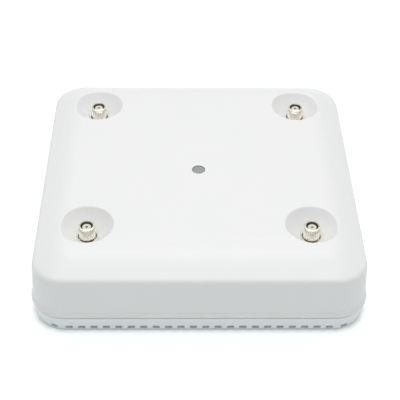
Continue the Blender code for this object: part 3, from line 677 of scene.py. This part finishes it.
def steps_between(start, end, count):
    """Evenly spaced values after the start, up to the end."""
    return [start + (end - start) * step / count for step in range(1, count + 1)]


DISH_RADII = (
    steps_between(DISH_PATCH_RADIUS, DISH_RIM_RADIUS + 1.0, 4)
    + steps_between(DISH_RIM_RADIUS + 1.0, DISH_RIM_RADIUS - 1.0, 14)
    + steps_between(DISH_RIM_RADIUS - 1.0, DISH_FLOOR_RADIUS, 16)
    + [JACK_HOLE_RADIUS + 0.25, JACK_HOLE_RADIUS + 0.07, JACK_HOLE_RADIUS]
)
LENS_RADII = (
    steps_between(LENS_PATCH_RADIUS, LENS_HOLE_RADIUS + 0.4, 2)
    + [LENS_HOLE_RADIUS + 0.3, LENS_HOLE_RADIUS + 0.15, LENS_HOLE_RADIUS + 0.04, LENS_HOLE_RADIUS]
)


def lip_drop(radius, hole_radius):
    """How far the small round at the edge of a hole has dropped at a radius."""
    share = max(0.0, hole_radius + LIP - radius) / LIP
    return LIP * (1.0 - math.sqrt(1.0 - share * share))


def dish_point(x, y, radius):
    """The height of a dish's surface, with a soft rim and a small round at the jack's hole."""
    surface = soft_minimum(top_height(x, y), dish_height(radius), DISH_RIM_BLEND)
    return surface - lip_drop(radius, JACK_HOLE_RADIUS)


def lens_rim_point(x, y, radius):
    """The height of the rounded edge of the status light's hole."""
    return top_height(x, y) - lip_drop(radius, LENS_HOLE_RADIUS)


# ---- lower housing -----------------------------------------------------------------------------
VENT_PITCH = 8.05
VENT_COUNT = 22  # on each straight side
VENT_WIDTH = 4.8
VENT_BOTTOM_Z, VENT_TOP_Z = 1.6, 4.4
VENT_CORNER = 0.9
CORNER_VENT_ANGLES = (20.0, 70.0)
EXIT_HALF_X = 58.0  # the gap that lets cables out at the back
EXIT_TOP_Z = 11.0
EXIT_CORNER = 3.0
RELIEF_HALF_X = 68.0  # the flange is cut away where the cable bay passes it
RELIEF_FRONT_Y, RELIEF_BACK_Y = 90.0, 104.6
SCREW_CORNER = 94.0  # cover screws, half spacing
SCREW_HOLE_RADIUS = 4.6
SKIRT_INSET = 2.1
LIP_INSET = 3.1
LIP_TOP_Z = 16.2
FLANGE_TOP_Z = 9.4
FLANGE_BOTTOM_Z = 7.8
FLANGE_HALF = 99.0
FLANGE_CORNER = 36.0
SKIRT_INNER_INSET = 4.8


def block(name, low, high, radius=0.0, steps=4, axis="Y"):
    """A box whose edges along one axis are rounded."""
    low, high = Vector(low) * MM, Vector(high) * MM
    bm = bmesh.new()
    size = Matrix.Diagonal((*(high - low), 1.0))
    bmesh.ops.create_cube(bm, size=1.0, matrix=Matrix.Translation((low + high) / 2) @ size)
    if radius:
        along = "XYZ".index(axis)
        edges = [e for e in bm.edges if abs(e.verts[0].co[along] - e.verts[1].co[along]) > 1e-6]
        bmesh.ops.bevel(
            bm, geom=edges, offset=radius * MM, segments=steps, profile=0.5, affect="EDGES"
        )
    return add_object(name, mesh_from(bm, name))


def joined(name, pieces):
    """Several helper objects as one, in world space."""
    bm = bmesh.new()
    for piece in pieces:
        mesh = piece.data.copy()
        mesh.transform(piece.matrix_basis)
        bm.from_mesh(mesh)
        bpy.data.objects.remove(piece)
    return add_object(name, mesh_from(bm, name))


def vent_cutters():
    """Rounded slots along the rim, evenly on the sides and round the corners."""
    slots = []
    for side in range(4):
        turn = Matrix.Rotation(math.pi / 2 * side, 4, "Z")
        for number in range(VENT_COUNT):
            x = (number - (VENT_COUNT - 1) / 2) * VENT_PITCH
            if side == 2 and abs(x) < EXIT_HALF_X + 5:
                continue
            slots.append(vent_slot(turn @ Matrix.Translation((x * MM, 0, 0)), HALF))
        centre = Matrix.Translation(Vector((HALF - CORNER_RADIUS, CORNER_RADIUS - HALF, 0)) * MM)
        for angle in CORNER_VENT_ANGLES:
            swing = Matrix.Rotation(math.radians(angle), 4, "Z")
            slots.append(vent_slot(turn @ centre @ swing, CORNER_RADIUS))
    return joined("vent_cutters", slots)


def vent_slot(matrix, reach):
    """A helper solid for one slot, facing forward at a distance and then moved by the matrix."""
    half = VENT_WIDTH / 2
    low, high = (-half, -reach - 1, VENT_BOTTOM_Z), (half, -reach + 8, VENT_TOP_Z)
    slot = block("vent", low, high, VENT_CORNER)
    slot.matrix_basis = matrix
    return slot


def make_skirt():
    """The lower housing, with its vents and the gap that lets cables out at the back."""
    top = SEAM_Z - SEAM_GAP
    outside = [
        (SKIRT_INSET + 0.6, SKIRT_BOTTOM_Z),
        (SKIRT_INSET, SKIRT_BOTTOM_Z + 0.6),
        (1.5, 5.0),
        (0.4, top - 0.35),
        (0.7, top),
        (LIP_INSET, top),
        (LIP_INSET, LIP_TOP_Z),
        (LIP_INSET + 1.3, LIP_TOP_Z),
        (LIP_INSET + 1.5, FLANGE_TOP_Z),
    ]
    outside = filleted(outside, [0.5, 3.0, 0.3, 0.3, 0, 0, 0], 4)
    rings = [ring_of(inset, z) for inset, z in outside]
    rings += [(FLANGE_HALF, FLANGE_CORNER, z) for z in (FLANGE_TOP_Z, FLANGE_BOTTOM_Z)]
    rings += [ring_of(SKIRT_INNER_INSET, z) for z in (FLANGE_BOTTOM_Z, SKIRT_BOTTOM_Z)]
    skirt = add_object("skirt_shell", mesh_from(loft(rings, CORNER_FACETS, True), "skirt_shell"))
    openings = [
        block("exit", (-EXIT_HALF_X, 95, -2), (EXIT_HALF_X, HALF + 2, EXIT_TOP_Z), EXIT_CORNER),
        block("relief", (-RELIEF_HALF_X, RELIEF_FRONT_Y, 6.5), (RELIEF_HALF_X, RELIEF_BACK_Y, 11.5)),
    ]
    low, high = FLANGE_BOTTOM_Z - 0.8, FLANGE_TOP_Z + 1.6
    hole = [(0, high), (SCREW_HOLE_RADIUS, high), (SCREW_HOLE_RADIUS, low), (0, low)]
    for sign_x in (-1, 1):
        for sign_y in (-1, 1):
            at = (sign_x * SCREW_CORNER, sign_y * SCREW_CORNER, 0)
            openings.append(add_object("screw_hole", mesh_from(lathe(hole, 32), "screw_hole"), at))
    cut(skirt, vent_cutters(), *openings)
    smooth(skirt, 30)
    finish(skirt, "housing_plastic", ("lower_housing",))


# ---- status light ------------------------------------------------------------------------------
LENS_DOME_ANGLE = 0.62  # radians from the middle of the dome to its edge
LENS_DOME_HEIGHT = 1.1
LENS_FLANGE_RADIUS = 6.0
LENS_FLANGE_TOP_Z = TOP_Z - 2.5  # clips under the cover
LENS_FLANGE_BOTTOM_Z = LENS_FLANGE_TOP_Z - 1.4


def make_lens():
    """The light guide's slightly domed window, its clip flange and its stem."""
    low, high = extent("status_lens")
    width = LENS_RADIUS / math.sin(LENS_DOME_ANGLE)
    crown = [
        (width * math.sin(angle), high.z - LENS_DOME_HEIGHT * (1 - math.cos(angle)))
        for angle in np.linspace(0, LENS_DOME_ANGLE, 7)
    ]
    below = [
        (LENS_RADIUS, crown[-1][1] - 0.3),
        (LENS_RADIUS, LENS_FLANGE_TOP_Z),
        (LENS_FLANGE_RADIUS, LENS_FLANGE_TOP_Z),
        (LENS_FLANGE_RADIUS, LENS_FLANGE_BOTTOM_Z),
        (3.2, LENS_FLANGE_BOTTOM_Z),
        (2.0, low.z + 0.3),
        (1.7, low.z),
        (0, low.z),
    ]
    lens = add_object("light_guide", mesh_from(lathe(crown + below, 64), "light_guide"), (*LENS_AT.xy, 0))
    smooth(lens, 40)
    finish(lens, "smoked_lens", ("status_lens",))


# ---- antenna jacks -----------------------------------------------------------------------------
THREAD_RADIUS = 5.55
THREAD_PITCH = 25.4 / 28
THREAD_DEPTH = 0.35
THREAD_LOW_Z = 41.9
THREAD_STEPS = 8  # rows of points in each turn
RELIEF_RADIUS = 4.85  # the barrel is narrower below the thread
NOSE_RADIUS = 4.9  # the plain end above the thread
NOSE_HEIGHT = 1.6
BORE_RADIUS = 4.1
BORE_FLOOR_Z = 42.0
INSULATOR_RADIUS = 2.9
JACK_FLANGE_RADIUS = 8.0
JACK_FLANGE_TOP_Z, JACK_FLANGE_BOTTOM_Z = 38.5, 36.5
SHANK_RADIUS = 5.2  # the part that passes through the carrier
SHANK_LOW_Z = 31.4
TAIL_RADIUS = 2.0  # the end that the lead is crimped on
TAIL_BORE_RADIUS = 1.0
JACK_SIDES = 64


def make_jack(name, at):
    """A bulkhead jack with a cut coupling thread, its insulator and its centre contact."""
    low = extent("antenna_jack_" + name)[0].z
    thread_high = JACK_TOP_Z - NOSE_HEIGHT - 0.5
    rows = int((thread_high - THREAD_LOW_Z) / THREAD_PITCH * THREAD_STEPS)
    thread = [(THREAD_RADIUS, z) for z in np.linspace(thread_high, THREAD_LOW_Z, rows)]

    def threaded(radius, z, angle):
        if abs(radius - THREAD_RADIUS) > 1e-6:
            return radius
        turn = (z / THREAD_PITCH - angle / math.tau) % 1.0
        fade = min(1.0, (z - THREAD_LOW_Z) / THREAD_PITCH, (thread_high - z) / 0.3)
        return radius - THREAD_DEPTH * abs(2 * turn - 1) * max(0.0, fade)

    outside = [
        (BORE_RADIUS + 0.12, JACK_TOP_Z),
        (NOSE_RADIUS - 0.25, JACK_TOP_Z),
        (NOSE_RADIUS - 0.08, JACK_TOP_Z - 0.08),
        (NOSE_RADIUS, JACK_TOP_Z - 0.3),
        (NOSE_RADIUS, JACK_TOP_Z - NOSE_HEIGHT + 0.1),
        (NOSE_RADIUS + 0.1, JACK_TOP_Z - NOSE_HEIGHT),
        *thread,
        (RELIEF_RADIUS, THREAD_LOW_Z - 0.2),
        (RELIEF_RADIUS, JACK_FLANGE_TOP_Z + 0.1),
        (JACK_FLANGE_RADIUS - 0.1, JACK_FLANGE_TOP_Z),
        (JACK_FLANGE_RADIUS, JACK_FLANGE_TOP_Z - 0.1),
        (JACK_FLANGE_RADIUS, JACK_FLANGE_BOTTOM_Z),
        (SHANK_RADIUS, JACK_FLANGE_BOTTOM_Z),
        (SHANK_RADIUS, SHANK_LOW_Z),
        (TAIL_RADIUS, SHANK_LOW_Z),
        (TAIL_RADIUS, low),
    ]
    mouth = [
        (TAIL_BORE_RADIUS, low),
        (TAIL_BORE_RADIUS, BORE_FLOOR_Z),
        (BORE_RADIUS, BORE_FLOOR_Z),
        (BORE_RADIUS, JACK_TOP_Z - 0.12),
    ]
    mesh = mesh_from(lathe(outside + mouth, JACK_SIDES, threaded), "jack_body")
    jack = add_object("jack_body_" + name, mesh, (*at.xy, 0))
    smooth(jack, 28)
    finish(jack, "nickel", ("antenna_jack_" + name,))
    # painted shade: the faces inside the jack's mouth take the darker bore material
    jack.data.materials.append(BORE_SHADE)
    for face in jack.data.polygons:
        reach = math.hypot(face.center.x, face.center.y) / MM
        if reach < BORE_RADIUS + 0.01 and face.center.z / MM > BORE_FLOOR_Z - 0.1:
            face.material_index = 1
    make_insulator(name, at)
    make_pin(name, at)


def make_insulator(name, at):
    """The pale sleeve that holds the centre contact in the jack's bore."""
    low, high = extent("jack_insulator_" + name)
    profile = [
        (1.0, high.z - 0.15),
        (1.15, high.z),
        (INSULATOR_RADIUS - 0.2, high.z),
        (INSULATOR_RADIUS, high.z - 0.2),
        (INSULATOR_RADIUS, low.z),
        (0.8, low.z),
        (0.8, low.z + 1.5),
        (1.0, low.z + 3.0),
    ]
    made = add_object("insulator_" + name, mesh_from(lathe(profile, 48), "insulator"), (*at.xy, 0))
    smooth(made, 40)
    finish(made, "white_insulator", ("jack_insulator_" + name,))


def make_pin(name, at):
    """The gold centre contact, with a rounded tip."""
    low, high = extent("jack_pin_" + name)
    nose = [(0.5 * math.sin(a), high.z - 0.8 * (1 - math.cos(a))) for a in np.linspace(0, math.pi / 2, 7)]
    profile = [*nose, (0.5, low.z + 0.2), (0.35, low.z), (0, low.z)]
    made = add_object("centre_pin_" + name, mesh_from(lathe(profile, 24), "centre_pin"), (*at.xy, 0))
    smooth(made, 40)
    finish(made, "gold", ("jack_pin_" + name,))


# ---- feet and screws ---------------------------------------------------------------------------
FOOT_HEAD_RADIUS = 7.0
FOOT_HEAD_EDGE_Z = 1.65  # top of the head's rim
FOOT_NECK_RADIUS = 4.2
FOOT_NECK_LOW_Z, FOOT_NECK_HIGH_Z = 2.1, 4.2
FOOT_STEM_RADIUS = 2.0
SCREW_HEAD_RADIUS = 3.1
SCREW_HEAD_TOP_Z = 5.7
SCREW_COLLAR_RADIUS = 1.5  # the thicker length next to the head
SCREW_SHANK_RADIUS = 0.9
CROSS_LENGTH, CROSS_WIDTH, CROSS_DEPTH = 1.7, 0.42, 0.75  # half sizes of the recess, and its depth


def make_foot(name):
    """A shoulder stud whose wide head hooks into a bracket's keyhole."""
    node = "mounting_foot_" + name
    high = extent(node)[1].z
    profile = [
        (0, high),
        (FOOT_STEM_RADIUS, high),
        (FOOT_STEM_RADIUS, FOOT_NECK_HIGH_Z),
        (FOOT_NECK_RADIUS, FOOT_NECK_HIGH_Z),
        (FOOT_NECK_RADIUS, FOOT_NECK_LOW_Z),
        (FOOT_HEAD_RADIUS - 0.5, FOOT_HEAD_EDGE_Z),
        (FOOT_HEAD_RADIUS - 0.15, FOOT_HEAD_EDGE_Z - 0.2),
        (FOOT_HEAD_RADIUS, FOOT_HEAD_EDGE_Z - 0.5),
        (FOOT_HEAD_RADIUS, 0.45),
        (FOOT_HEAD_RADIUS - 0.15, 0.15),
        (FOOT_HEAD_RADIUS - 0.45, 0.0),
        (3.2, 0.0),
        (3.1, 0.15),
        (2.2, 0.9),
        (0, 0.95),
    ]
    at = middle(node)
    foot = add_object("foot_" + name, mesh_from(lathe(profile, 48), "foot"), (*at.xy, 0))
    smooth(foot, 30)
    finish(foot, "steel", (node,))


def make_cover_screw(name):
    """A pan-head screw from below, with a cross recess."""
    node = "cover_screw_" + name
    low, high = extent(node)
    head = [
        (0, high.z),
        (SCREW_SHANK_RADIUS - 0.4, high.z - 0.1),
        (SCREW_SHANK_RADIUS, high.z - 1.2),
        (SCREW_SHANK_RADIUS, 7.5),
        (SCREW_COLLAR_RADIUS, 7.0),
        (SCREW_COLLAR_RADIUS, SCREW_HEAD_TOP_Z),
        (SCREW_HEAD_RADIUS - 0.1, SCREW_HEAD_TOP_Z),
        (SCREW_HEAD_RADIUS, SCREW_HEAD_TOP_Z - 0.1),
        (SCREW_HEAD_RADIUS, SCREW_HEAD_TOP_Z - 0.65),
        (SCREW_HEAD_RADIUS - 0.2, SCREW_HEAD_TOP_Z - 0.9),
        (SCREW_HEAD_RADIUS - 0.9, low.z),
        (0, low.z),
    ]
    at = middle(node)
    screw = add_object("screw_" + name, mesh_from(lathe(head, 32), "screw"), (*at.xy, 0))
    for x, y in ((CROSS_LENGTH, CROSS_WIDTH), (CROSS_WIDTH, CROSS_LENGTH)):
        arm = block("arm", (-x, -y, low.z - 1), (x, y, low.z + CROSS_DEPTH), 0.15, 2, "Z")
        arm.matrix_basis = Matrix.Translation(Vector((*at.xy, 0)) * MM) @ Matrix.Rotation(0.4, 4, "Z")
        cut(screw, arm)
    smooth(screw, 30)
    finish(screw, "steel", (node,))


# ---- sockets -----------------------------------------------------------------------------------
def wire(name, points, radius):
    """A mesh object for a round wire through the given points."""
    curve = bpy.data.curves.new(name, "CURVE")
    curve.dimensions = "3D"
    curve.bevel_depth = radius * MM
    curve.bevel_resolution = 2
    curve.use_fill_caps = True
    spline = curve.splines.new("POLY")
    spline.points.add(len(points) - 1)
    for point, at in zip(spline.points, points):
        point.co = (*(Vector(at) * MM), 1.0)
    line = add_object(name + "_line", curve)
    graph = bpy.context.evaluated_depsgraph_get()
    mesh = bpy.data.meshes.new_from_object(line.evaluated_get(graph))
    bpy.data.objects.remove(line)
    return add_object(name, mesh)


def line_inside(made, node, wall, material):
    """Gives the faces inside a socket's mouth a second material."""
    low, high = extent(node)
    made.data.materials.append(material)
    for face in made.data.polygons:
        at = face.center / MM
        beside = low.x + wall < at.x < high.x - wall
        if beside and low.z + wall < at.z < high.z - wall and low.y + 0.5 < at.y < high.y - 0.3:
            face.material_index = 1


SOCKET_DEPTH = 13.0
CONTACTS = 8
CONTACT_PITCH = 1.02
CONTACT_RADIUS = 0.2


def make_network_socket(node):
    """A shielded modular jack: a metal shell, a black liner and eight sprung contacts."""
    shell = softened(node, 0.25, "plated_sheet")
    line_inside(shell, node, 1.2, FINISHES["chip_black"])
    low, high = extent(node)
    x = (low.x + high.x) / 2
    back, front = high.y - SOCKET_DEPTH, high.y
    contacts = []
    for number in range(CONTACTS):
        at = x + (number - (CONTACTS - 1) / 2) * CONTACT_PITCH
        path = [
            (at, back + 0.2, high.z - 2.1),
            (at, front - 3.2, high.z - 2.1),
            (at, front - 2.8, high.z - 2.3),
            (at, front - 3.0, high.z - 2.7),
            (at, back + 4.0, high.z - 5.4),
        ]
        contacts.append(wire("contact", path, CONTACT_RADIUS))
    made = joined(node + "_contacts", contacts)
    smooth(made)
    finish(made, "gold")


def make_usb_port():
    """A metal shell round a white tongue with four contact strips on its lower side."""
    shell = softened("usb_port", 0.15, "plated_sheet")
    line_inside(shell, "usb_port", 0.6, FINISHES["white_insulator"])
    low, high = extent("usb_port")
    x = (low.x + high.x) / 2
    strips = []
    for place in (-3.5, -1.0, 1.0, 3.5):
        under = (x + place - 0.5, low.y + 3.0, high.z - 2.5)
        over = (x + place + 0.5, high.y - 2.2, high.z - 2.3)
        strips.append(block("strip", under, over, 0.08, 2, "Y"))
    made = joined("usb_contacts", strips)
    smooth(made)
    finish(made, "gold")


DC_PIN_RADIUS = 1.0
DC_MOUTH_DEPTH_Y = 3.0  # floor of the mouth, from the jack's inner end


def make_power_jack():
    """A black power socket with a plated centre pin."""
    body = softened("dc_power_jack", 0.2, "chip_black")
    body.data.materials.append(FINISHES["nickel"])
    low, high = extent("dc_power_jack")
    centre = (low + high) / 2
    for face in body.data.polygons:
        at = face.center / MM
        reach = math.hypot(at.x - centre.x, at.z - centre.z)
        if reach < DC_PIN_RADIUS + 0.05 and at.y > low.y + DC_MOUTH_DEPTH_Y + 0.05:
            face.material_index = 1


LABEL_CORNER = 3.0
LABEL_MARGIN = 1.8  # from the label's edge to its frame line
LABEL_LINE_WIDTH = 0.4


def make_label():
    """A blank label with rounded corners and a printed frame line."""
    low, high = extent("rating_label")
    label = block("blank_label", low, high, LABEL_CORNER, 6, "Z")
    bm = bmesh.new()
    bm.from_mesh(label.data)
    printed = [face for face in bm.faces if face.normal.z < -0.9]
    bmesh.ops.inset_region(bm, faces=printed, thickness=LABEL_MARGIN * MM, depth=0.0)
    line = bmesh.ops.inset_region(bm, faces=printed, thickness=LABEL_LINE_WIDTH * MM, depth=0.0)
    for face in line["faces"]:
        face.material_index = 1
    bm.to_mesh(label.data)
    bm.free()
    smooth(label)
    finish(label, "label_film", ("rating_label",))
    label.data.materials.append(FINISHES["chip_black"])


BUTTON_RADIUS = 1.8
BUTTON_FLANGE_RADIUS = 2.8
BUTTON_FLANGE_Y = 59.7  # outer face of the flange behind the bay's wall
BUTTON_FLANGE_DEPTH = 1.2
BUTTON_STEM_RADIUS = 1.2


def make_button():
    """The mode button, domed at its tip, on its own body."""
    low, high = extent("mode_button")
    at = middle("mode_button")
    inner_y = BUTTON_FLANGE_Y - BUTTON_FLANGE_DEPTH
    profile = [
        (0, high.y),
        (BUTTON_RADIUS - 1.0, high.y - 0.04),
        (BUTTON_RADIUS - 0.4, high.y - 0.16),
        (BUTTON_RADIUS - 0.1, high.y - 0.4),
        (BUTTON_RADIUS, high.y - 0.8),
        (BUTTON_RADIUS, BUTTON_FLANGE_Y),
        (BUTTON_FLANGE_RADIUS - 0.1, BUTTON_FLANGE_Y),
        (BUTTON_FLANGE_RADIUS, BUTTON_FLANGE_Y - 0.1),
        (BUTTON_FLANGE_RADIUS, inner_y + 0.1),
        (BUTTON_FLANGE_RADIUS - 0.1, inner_y),
        (BUTTON_STEM_RADIUS, inner_y),
        (BUTTON_STEM_RADIUS, low.y + 0.1),
        (BUTTON_STEM_RADIUS - 0.1, low.y),
        (0, low.y),
    ]
    bm = lathe(profile, 32)
    bmesh.ops.transform(bm, matrix=Matrix.Rotation(-math.pi / 2, 4, "X"), verts=bm.verts)
    button = add_object("mode_button_cap", mesh_from(bm, "mode_button_cap"), (at.x, 0, at.z))
    smooth(button, 40)
    finish(button, "button_plastic", ("mode_button",), "button")


# ---- everything --------------------------------------------------------------------------------
make_cover()
make_skirt()
make_lens()
for corner, jack_at in JACKS.items():
    make_jack(corner, jack_at)
    make_foot(corner)
    make_cover_screw(corner)
for socket in ("poe_ethernet_jack", "aux_ethernet_jack", "console_jack"):
    make_network_socket(socket)
make_usb_port()
make_power_jack()
make_label()
make_button()
softened("base_casting", 0.35, "cast_metal")
softened("jack_carrier", 0.2, "plated_sheet")

slot_of = {row["node"]: row["material_slot"] for row in frame["record"]["subparts"]}
for node_name, node in frame["nodes"].items():
    if not node.hide_render:
        node.data.materials.clear()
        node.data.materials.append(FINISHES[slot_of[node_name]])

# ---- floor, light and camera -------------------------------------------------------------------
FLOOR_GLOW = 0.57
PAINTED_SHADOW_REACH = 4.0  # the glow fades this near the object, which paints its contact shadow
FLOOR_HALF, FLOOR_DEPTH = 4000, 20
SURROUND_FRONT, SURROUND_BACK = 0.36, 0.47  # strength of the surround

floor_paint = Paint("floor", (0.52, 0.52, 0.52), 0.9)
floor_paint.mottle(300.0, (0.515, 0.515, 0.515), 0.5).grain(2.0, 0.02)
# the floor's glow fades round the object: a painted contact shadow
floor_paint.set(Emission_Color=(0.92, 1.0, 0.99, 1.0)).glow_with_painted_shadow(FLOOR_GLOW, PAINTED_SHADOW_REACH)
floor = block("floor", (-FLOOR_HALF, -FLOOR_HALF, -FLOOR_DEPTH), (FLOOR_HALF, FLOOR_HALF, 0))
floor.data.materials.append(floor_paint.material)


def area_light(name, at, aim, size, power):
    """A square soft light, in metres, facing the aim point."""
    data = bpy.data.lights.new(name, "AREA")
    data.shape = "SQUARE"
    data.size = size
    data.energy = power
    made = bpy.data.objects.new(name, data)
    made.location = at
    made.rotation_euler = (Vector(aim) - Vector(at)).to_track_quat("-Z", "Y").to_euler()
    bpy.context.scene.collection.objects.link(made)


area_light("overhead", (0.0, 0.1, 1.5), (0, 0, 0), 1.5, 21.6)


def studio_world():
    """A soft white surround, dimmer towards the front than overhead and at the back."""
    world = bpy.data.worlds.new("studio")
    bpy.context.scene.world = world
    world.use_nodes = True
    tree = world.node_tree
    place = tree.nodes.new("ShaderNodeTexCoord")
    split = tree.nodes.new("ShaderNodeSeparateXYZ")
    level = tree.nodes.new("ShaderNodeMapRange")
    level.inputs["From Min"].default_value = -0.9
    level.inputs["From Max"].default_value = 0.6
    level.inputs["To Min"].default_value = SURROUND_FRONT
    level.inputs["To Max"].default_value = SURROUND_BACK
    tree.links.new(place.outputs["Generated"], split.inputs[0])
    tree.links.new(split.outputs["Y"], level.inputs["Value"])
    tree.links.new(level.outputs["Result"], tree.nodes["Background"].inputs["Strength"])
    tree.nodes["Background"].inputs["Color"].default_value = (1.0, 1.0, 1.0, 1.0)


studio_world()
bpy.context.scene.view_settings.view_transform = "Standard"

LENS_LENGTH = 92.8  # on a 36 mm sensor
CAMERA_DISTANCE = 737.0
CAMERA_AZIMUTH = math.radians(-1.49)
CAMERA_ELEVATION = math.radians(40.69)
CAMERA_ROLL = math.radians(1.07)
AIM_OFFSET = (1.42, -5.42)  # of the aim point from the object's middle, across and up the view
AIM_Z = 25.8

back = Vector(
    (
        math.sin(CAMERA_AZIMUTH) * math.cos(CAMERA_ELEVATION),
        -math.cos(CAMERA_AZIMUTH) * math.cos(CAMERA_ELEVATION),
        math.sin(CAMERA_ELEVATION),
    )
)
level = Vector((0, 0, 1)).cross(back).normalized()
upright = back.cross(level)
right = level * math.cos(CAMERA_ROLL) + upright * math.sin(CAMERA_ROLL)
up = upright * math.cos(CAMERA_ROLL) - level * math.sin(CAMERA_ROLL)
aim = right * AIM_OFFSET[0] + up * AIM_OFFSET[1] + Vector((0, 0, AIM_Z))
camera_data = bpy.data.cameras.new("camera")
camera_data.lens = LENS_LENGTH
camera_data.sensor_width = 36.0
camera_data.clip_start = 0.01
camera = bpy.data.objects.new("camera", camera_data)
camera.matrix_world = Matrix.Translation((aim + back * CAMERA_DISTANCE) * MM) @ Matrix(
    (right, up, back)
).transposed().to_4x4()
bpy.context.scene.collection.objects.link(camera)
bpy.context.scene.camera = camera
